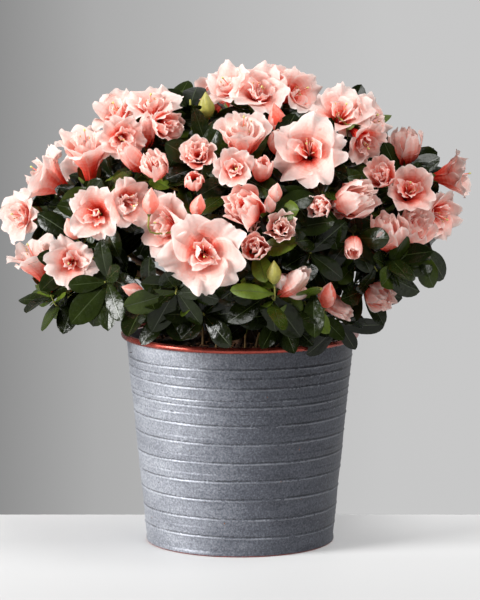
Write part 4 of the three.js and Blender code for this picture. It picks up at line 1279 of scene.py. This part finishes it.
def build_rim(materials):
    turn = np.linspace(0, 2 * math.pi, 21)
    section = np.stack([RIM_RADIUS - ROLL_RADIUS + ROLL_RADIUS * np.cos(turn),
                        POT_HEIGHT - ROLL_RADIUS + ROLL_RADIUS * np.sin(turn)], axis=-1)
    rim = Pile("planter_roll", [materials["copper"]])
    rim.add(*turned(section, WALL_SIDES, rim_relief), 0)
    rim.make(["planter_rim"])


# ---- Compost ----
COMPOST_RADIUS = wall_radius(COMPOST_EDGE) - SHEET - GAP
CHIPS = 900
CHIP_RING = np.array([(-1, -0.4, -0.6), (-0.2, -1, -0.7), (0.9, -0.5, -0.5),
                      (1, 0.5, -0.7), (0.1, 1, -0.5), (-0.8, 0.6, -0.6)])
CHIP_CAPS = np.array([(3, 2, 1, 0), (5, 4, 3, 0), (6, 7, 8, 9), (6, 9, 10, 11)])
SOIL, DARK_CHIP, LIGHT_CHIP = 0, 1, 2


def compost_height(radius):
    radii = [0, COMPOST_FLAT, COMPOST_SHOULDER["radius"], COMPOST_RADIUS]
    heights = [COMPOST_TOP, COMPOST_TOP, COMPOST_EDGE + COMPOST_SHOULDER["over"], COMPOST_EDGE]
    return np.interp(radius, radii, heights)


def bark_chip(rng):
    """Points and faces of a flat six-sided chip that lies somewhere on the compost."""
    away, turn = COMPOST_RADIUS * math.sqrt(rng.random()) * 0.97, rng.uniform(0, 2 * math.pi)
    height = compost_height(away) - 0.4 + rng.uniform(0, 1.2)
    centre = vec(away * math.cos(turn), away * math.sin(turn), height)
    axes = np.linalg.qr(rng.normal(size=(3, 3)))[0]
    axes = axes * (rng.uniform(2, 6), rng.uniform(1, 2.6), rng.uniform(0.4, 1.2))
    axes[2] *= 0.5
    low = CHIP_RING * rng.uniform(0.8, 1.2, (len(CHIP_RING), 1))
    high = low * (0.8, 0.8, -1)
    faces = np.concatenate([grid_faces(2, len(CHIP_RING), closed=True), CHIP_CAPS])
    return np.concatenate([low, high]) @ axes.T + centre, faces


def build_compost(materials):
    """A lumpy fill, strewn with chips of bark."""
    rng = np.random.default_rng(SEED + 3)
    radii = np.linspace(COMPOST_RADIUS, 0.01, 40)
    points, faces = turned(np.stack([radii, compost_height(radii)], axis=-1), 120)
    x, y = points[:, 0], points[:, 1]
    lumps = np.sin(x * 0.9) * np.cos(y * 0.8) + np.sin(x * 0.37 + y * 0.51)
    points[:, 2] += 0.8 * lumps - 0.8
    pile = Pile("compost_fill", [materials["soil"], materials["chip_dark"], materials["chip_light"]])
    pile.add(points, faces, SOIL)
    for _ in range(CHIPS):
        points, faces = bark_chip(rng)
        pile.add(points, faces, LIGHT_CHIP if rng.random() < 0.3 else DARK_CHIP)
    pile.make(["compost"])


# ---- Shrub ----
LIMB_ROWS = 26
BARE_FOOT = 0.85  # the stem's radius at its foot without its flare, as a share of that with it


def ridged(share, angle):
    ridges = 0.05 * np.sin(7 * angle + 9 * share) + 0.04 * np.sin(13 * angle - 23 * share)
    return 1 + ridges + 0.03 * np.sin(5 * angle + 61 * share)


def flared(share, angle):
    flare = max(0, 1 - 3 * share) ** 2
    return ridged(share, angle) * (1 + 0.35 * flare) * (1 + 0.3 * flare * np.cos(4 * angle))


def wandering(mass):
    """A bough's line, which wanders a little and ends in the mass's own stem."""
    line = mass["bough"].spaced(LIMB_ROWS)
    wander = 0.5 * np.sin(np.linspace(0, 9, len(line)) + line[-1][0])
    held = np.sin(np.linspace(0, math.pi, len(line)))
    line = line + wander[:, None] * across(mass["arriving"])[0] * held[:, None]
    return np.concatenate([line, [mass["entry"] + mass["arriving"] * STUB]])


def build_limbs(masses, materials):
    """The stem with its flare, and the boughs, with ridged bark."""
    pile = Pile("stem_and_boughs", [materials["bark"]])
    stem = np.concatenate([[STEM_FOOT - UP * 2, STEM_FOOT], STEM_PATH.spaced(LIMB_ROWS)])
    radii = lerp(STEM["foot"] * BARE_FOOT, STEM["fork"], np.linspace(0, 1, len(stem)))
    pile.add(*tube(stem, radii, 36, flared), 0)
    for mass in masses:
        line = wandering(mass)
        radii = lerp(BOUGH["foot"], BOUGH["tip"], np.linspace(0, 1, len(line)))
        pile.add(*tube(line, radii, 14, ridged), 0)
    boughs = [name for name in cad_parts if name.startswith("bough_")]
    pile.make(["main_stem", *boughs])


OLD, RIPE, YOUNG = 0, 1, 2
OLD_FROM, RIPE_FROM = 1.25, 0.95  # radii from which a twig's bark is brown and browning


def add_twig(pile, line, radius, tip):
    """A twig: brown where it is thick, green where it is young."""
    sides = 6 if radius > 1 else 5
    radii = lerp(radius, tip, np.linspace(0, 1, len(line)))
    points, faces = tube(line, radii, sides)
    thick = radii[np.clip(faces[:, 0] // sides, 0, len(radii) - 1)]
    pile.add(points, faces, np.where(thick > OLD_FROM, OLD, np.where(thick > RIPE_FROM, RIPE, YOUNG)))


def suckers(pile, index, draw):
    """Thin stems that rise from the compost round the main stem, each with a whorl of leaves."""
    rosettes = []
    for i in range(SUCKERS["count"]):
        turn = i * GOLDEN_ANGLE
        outward = vec(math.cos(turn), math.sin(turn), 0)
        foot = STEM_FOOT + outward * lerp(*SUCKERS["away"], draw()) - UP * 3
        tip = foot + outward * lerp(*SUCKERS["out"], draw()) + UP * lerp(*SUCKERS["up"], draw())
        axis = unit(UP + outward * lerp(*SUCKERS["lean"], draw()))
        path = Path(foot, unit(UP + outward * (draw() - 0.5)), tip, axis)
        add_twig(pile, path.spaced(7), 1.15, TWIG["tip"])
        rosettes.append(({"foot": tip, "axis": axis}, index + i, SUCKERS["leaves"]))
    return rosettes


def deal_out(shoots, masses):
    """Gives each shoot to the mass that faces it best."""
    for index, shoot in enumerate(shoots):
        shoot["index"] = index
        way = unit(shoot["foot"] - HEART)
        max(masses, key=lambda mass: mass["direction"].dot(way))["shoots"].append(shoot)


def grow_mass(mass, stretches, heads, taken, count, pile, draw):
    """Adds a mass's twigs to the pile, and returns its rosettes: shoots with the stream's index and the
    number of the leaves of each."""
    rosettes = []
    free = grow_twigs(mass, stretches)
    for twig in mass["twigs"]:
        line = np.concatenate([twig["path"].spaced(9), [twig["end"]]])
        add_twig(pile, line, twig["radius"], TWIG["tip"])
    for shoot in mass["shoots"]:
        leaves = LEAVES_PER_HEAD if "diameter" in shoot else LEAVES_PER_SHOOT
        rosettes.append((shoot, shoot["index"], leaves))
    for shoot in side_shoots(free, heads, taken, draw):
        place = shoot["place"]
        path = Path(place["at"], place["way"], shoot["foot"], shoot["axis"])
        add_twig(pile, path.spaced(4), max(0.6, place["radius"] * 0.7), 0.5)
        rosettes.append((shoot, count + len(taken), SIDE_SHOOT["leaves"]))
    return rosettes


def grow_shrub(materials):
    rng = np.random.default_rng(SEED)
    draw = random_stream(SEED + 7)
    masses = plan_masses()
    heads = seeded_heads(front_heads())
    shoots = heads + leafy_shoots(heads)
    deal_out(shoots, masses)
    stretches = Stretches()
    for mass in masses:
        stretches.add(mass["bough"].spaced(BOUGH["steps"]), BOUGH["foot"])

    twigs = Pile("twigs", [materials["twig_old"], materials["twig_ripe"], materials["twig_young"]])
    leaves = Pile("leaves", materials["leaves"])
    petals = Pile("petals", materials["petals"])
    taken = [shoot["foot"] for shoot in shoots]
    rosettes = []
    for mass in masses:
        rosettes += grow_mass(mass, stretches, heads, taken, len(shoots), twigs, draw)
    rosettes += suckers(twigs, len(rosettes), draw)
    grow_leaves(leaves, rosettes, heads, rng)
    for head in heads:
        Flower(petals, head, rng).grow()
    foliage = [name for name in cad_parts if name.startswith("foliage_")]
    twigs.make(foliage)
    leaves.make(foliage)
    petals.make(foliage)
    build_limbs(masses, materials)


def light_side(place):
    """The way leaves turn their faces: up, outward, and to the front of the plant where they grow there."""
    front = 1 - smooth(-60, 60, place[1])
    return unit(UP * 0.4 + unit(place - HEART) * 0.35 + vec(-0.1, -1, 0) * front)


def grow_leaves(pile, rosettes, heads, rng):
    """A whorl of leaves for each rosette, mostly of one kind."""
    kinds = len(pile.materials) - 1  # the last is the rib's
    for shoot, index, count in rosettes:
        kind = int(rng.choice(kinds, p=LEAF_KIND_SHARES))
        for leaf in whorl(shoot, index, count):
            leaf["length"] = LEAF["length"] * leaf["size"] * rng.uniform(*LEAF_VARIES["length"])
            leaf["width"] = leaf["length"] * rng.uniform(*LEAF_VARIES["slim"])
            lit = lerp(leaf["face"], light_side(leaf["root"]), LEAF_VARIES["to_light"])
            leaf["face"] = unit(lit - leaf["way"] * leaf["way"].dot(lit))
            if not leaf_fits(leaf, heads, shoot):
                continue
            own = rng.random() < LEAF_VARIES["own_kind"]
            shade = kind if own else int(rng.choice(kinds, p=LEAF_KIND_SHARES))
            shades = np.where(LEAF_FACE_COLUMN == RIB_COLUMN, kinds, shade)
            pile.add(leaf_points(leaf, rng), LEAF_FACES, shades)


LEAF_KINDS = [
    ("leaf_deep", (17, 23, 5), 0.2),
    ("leaf_dark", (25, 33, 8), 0.22),
    ("leaf_green", (42, 53, 13), 0.22),
    ("leaf_young", (76, 92, 26), 0.3),
]
LEAF_KIND_SHARES = (0.44, 0.36, 0.15, 0.05)


FLOWER_PARTS = [
    ("throat", (236, 120, 104)),
    ("stigma", (206, 204, 120)),
    ("anther", (196, 150, 92)),
    ("sepal", (92, 104, 44)),
    ("husk", (146, 140, 62)),
]
# The crest's zinc is lighter with wear and a painted highlight, the groove's darker with painted shade.
ZINC_KINDS = [("zinc", 1.0, 0.0), ("zinc_crest_worn_and_highlit", 1.08, 0.2), ("zinc_groove_painted_shade", 0.45, 0.0)]  # level and wear


def make_materials():
    leaves = [leaf_shader(name, srgb(*colour), gloss) for name, colour, gloss in LEAF_KINDS]
    petals = [petal_shader(f"petal_{i}", i / (SHADES - 1)) for i in range(SHADES)]
    return {
        "zinc": [zinc_shader(*kind) for kind in ZINC_KINDS],
        "copper": copper_shader(),
        "soil": compost_shader("soil", (14, 9, 6), (44, 31, 20)),
        "chip_dark": compost_shader("chip_dark", (30, 18, 11), (70, 46, 28)),
        "chip_light": compost_shader("chip_light", (66, 40, 22), (132, 92, 58)),
        "bark": bark_shader(),
        "twig_old": twig_shader("twig_old", (58, 36, 22), (116, 80, 52)),
        "twig_ripe": twig_shader("twig_ripe", (78, 58, 26), (128, 98, 52)),
        "twig_young": twig_shader("twig_young", (92, 96, 34), (146, 142, 62)),
        "leaves": leaves + [plain_shader("rib", (40, 50, 18), 0.35)],
        "petals": petals + [plain_shader(*part) for part in FLOWER_PARTS],
    }


# ---- Stage, light and camera ----
# Grey levels from a surface's start to its end, as (share, level).
# The table's greys are painted light and shade: darker towards the front, where the lamps light it most, and
# lighter towards the far edge, where the plant's shadow falls.
TABLE_WITH_PAINTED_LIGHT = [(0.0, 191), (0.41, 199), (0.65, 208), (0.79, 223), (1.0, 243)]  # from its front to its far edge
BACKDROP = [(0.0, 143), (0.2, 171), (0.5, 187), (0.8, 199), (1.0, 200)]  # from left to right
BACKDROP_HALF = 0.0717  # half the backdrop's width, as the sine of the angle that it takes up
ROOM = 64  # level of the room in front of the backdrop
TABLE_LOW, TABLE_HIGH = (-1500, -1800, -40), (1500, 88, 0)
BOX = [(0, 0, 0), (1, 0, 0), (1, 1, 0), (0, 1, 0), (0, 0, 1), (1, 0, 1), (1, 1, 1), (0, 1, 1)]
BOX_FACES = [(3, 2, 1, 0), (4, 5, 6, 7), (0, 1, 5, 4), (1, 2, 6, 5), (2, 3, 7, 6), (3, 0, 4, 7)]


def build_stage():
    """A pale table top whose far edge lies just behind the planter."""
    shader = Shader("table", roughness=0.6)
    # Painted light and shade: the table darkens towards the front and lightens towards its far edge.
    share = shader.mapped(shader.along("Y", shader.place), -0.2, 0.09)
    shader.feed("Base Color", shader.ramp(share, *greys(TABLE_WITH_PAINTED_LIGHT)))
    corners = np.where(np.array(BOX), TABLE_HIGH, TABLE_LOW)
    sides = np.zeros(len(BOX_FACES), int)
    table = mesh_object("table", [(corners, np.array(BOX_FACES), sides)], [shader.material])
    table.data.polygons.foreach_set("use_smooth", sides.astype(bool))


def build_world():
    """A grey studio backdrop, lighter to the right, and a dimmer room in front of it."""
    world = bpy.data.worlds.new("studio")
    bpy.context.scene.world = world
    world.use_nodes = True
    world.node_tree.nodes.clear()
    nodes = Nodes(world.node_tree)
    way = nodes.node("ShaderNodeTexCoord").outputs["Generated"]
    sides = nodes.mapped(nodes.along("X", way), -BACKDROP_HALF, BACKDROP_HALF)
    behind = nodes.mapped(nodes.along("Y", way), 0.0, 0.7)
    behind = nodes.ramp(behind, *greys([(0.0, 0), (1.0, 255)]))
    colour = nodes.mix(behind, srgb(ROOM, ROOM, ROOM), nodes.ramp(sides, *greys(BACKDROP)))
    backdrop = nodes.node("ShaderNodeBackground", {"Color": colour}).outputs[0]
    nodes.node("ShaderNodeOutputWorld", {"Surface": backdrop})


LENS = {"millimetres": 200.5, "sensor": 36}
LIT = (0, 0, 0.22)  # the point that the lamps face, in metres as their places and sizes are
LAMPS = [("key", (-1.9, -0.9, 0.95), 1.0, 88), ("fill", (0.75, -1.05, 1.95), 1.4, 52)]


def add_light(name, place, size, power):
    """A round lamp that faces the plant."""
    light = bpy.data.lights.new(name, "AREA")
    light.shape, light.size, light.energy = "DISK", size, power
    lamp = bpy.data.objects.new(name, light)
    bpy.context.scene.collection.objects.link(lamp)
    lamp.location = place
    lamp.rotation_euler = (Vector(LIT) - Vector(place)).to_track_quat("-Z", "Y").to_euler()


def build_camera():
    data = bpy.data.cameras.new("camera")
    data.sensor_fit = "VERTICAL"
    data.sensor_height = LENS["sensor"]
    data.lens = LENS["millimetres"]
    camera = bpy.data.objects.new("camera", data)
    bpy.context.scene.collection.objects.link(camera)
    camera.location = EYE * MM
    camera.rotation_euler = (math.radians(90 - EYE_PITCH), 0, 0)
    bpy.context.scene.camera = camera


def main():
    bpy.context.scene.view_settings.view_transform = "Standard"
    materials = make_materials()
    build_camera()
    build_stage()
    build_world()
    for lamp in LAMPS:
        add_light(*lamp)
    build_wall(materials)
    build_rim(materials)
    build_compost(materials)
    grow_shrub(materials)


main()
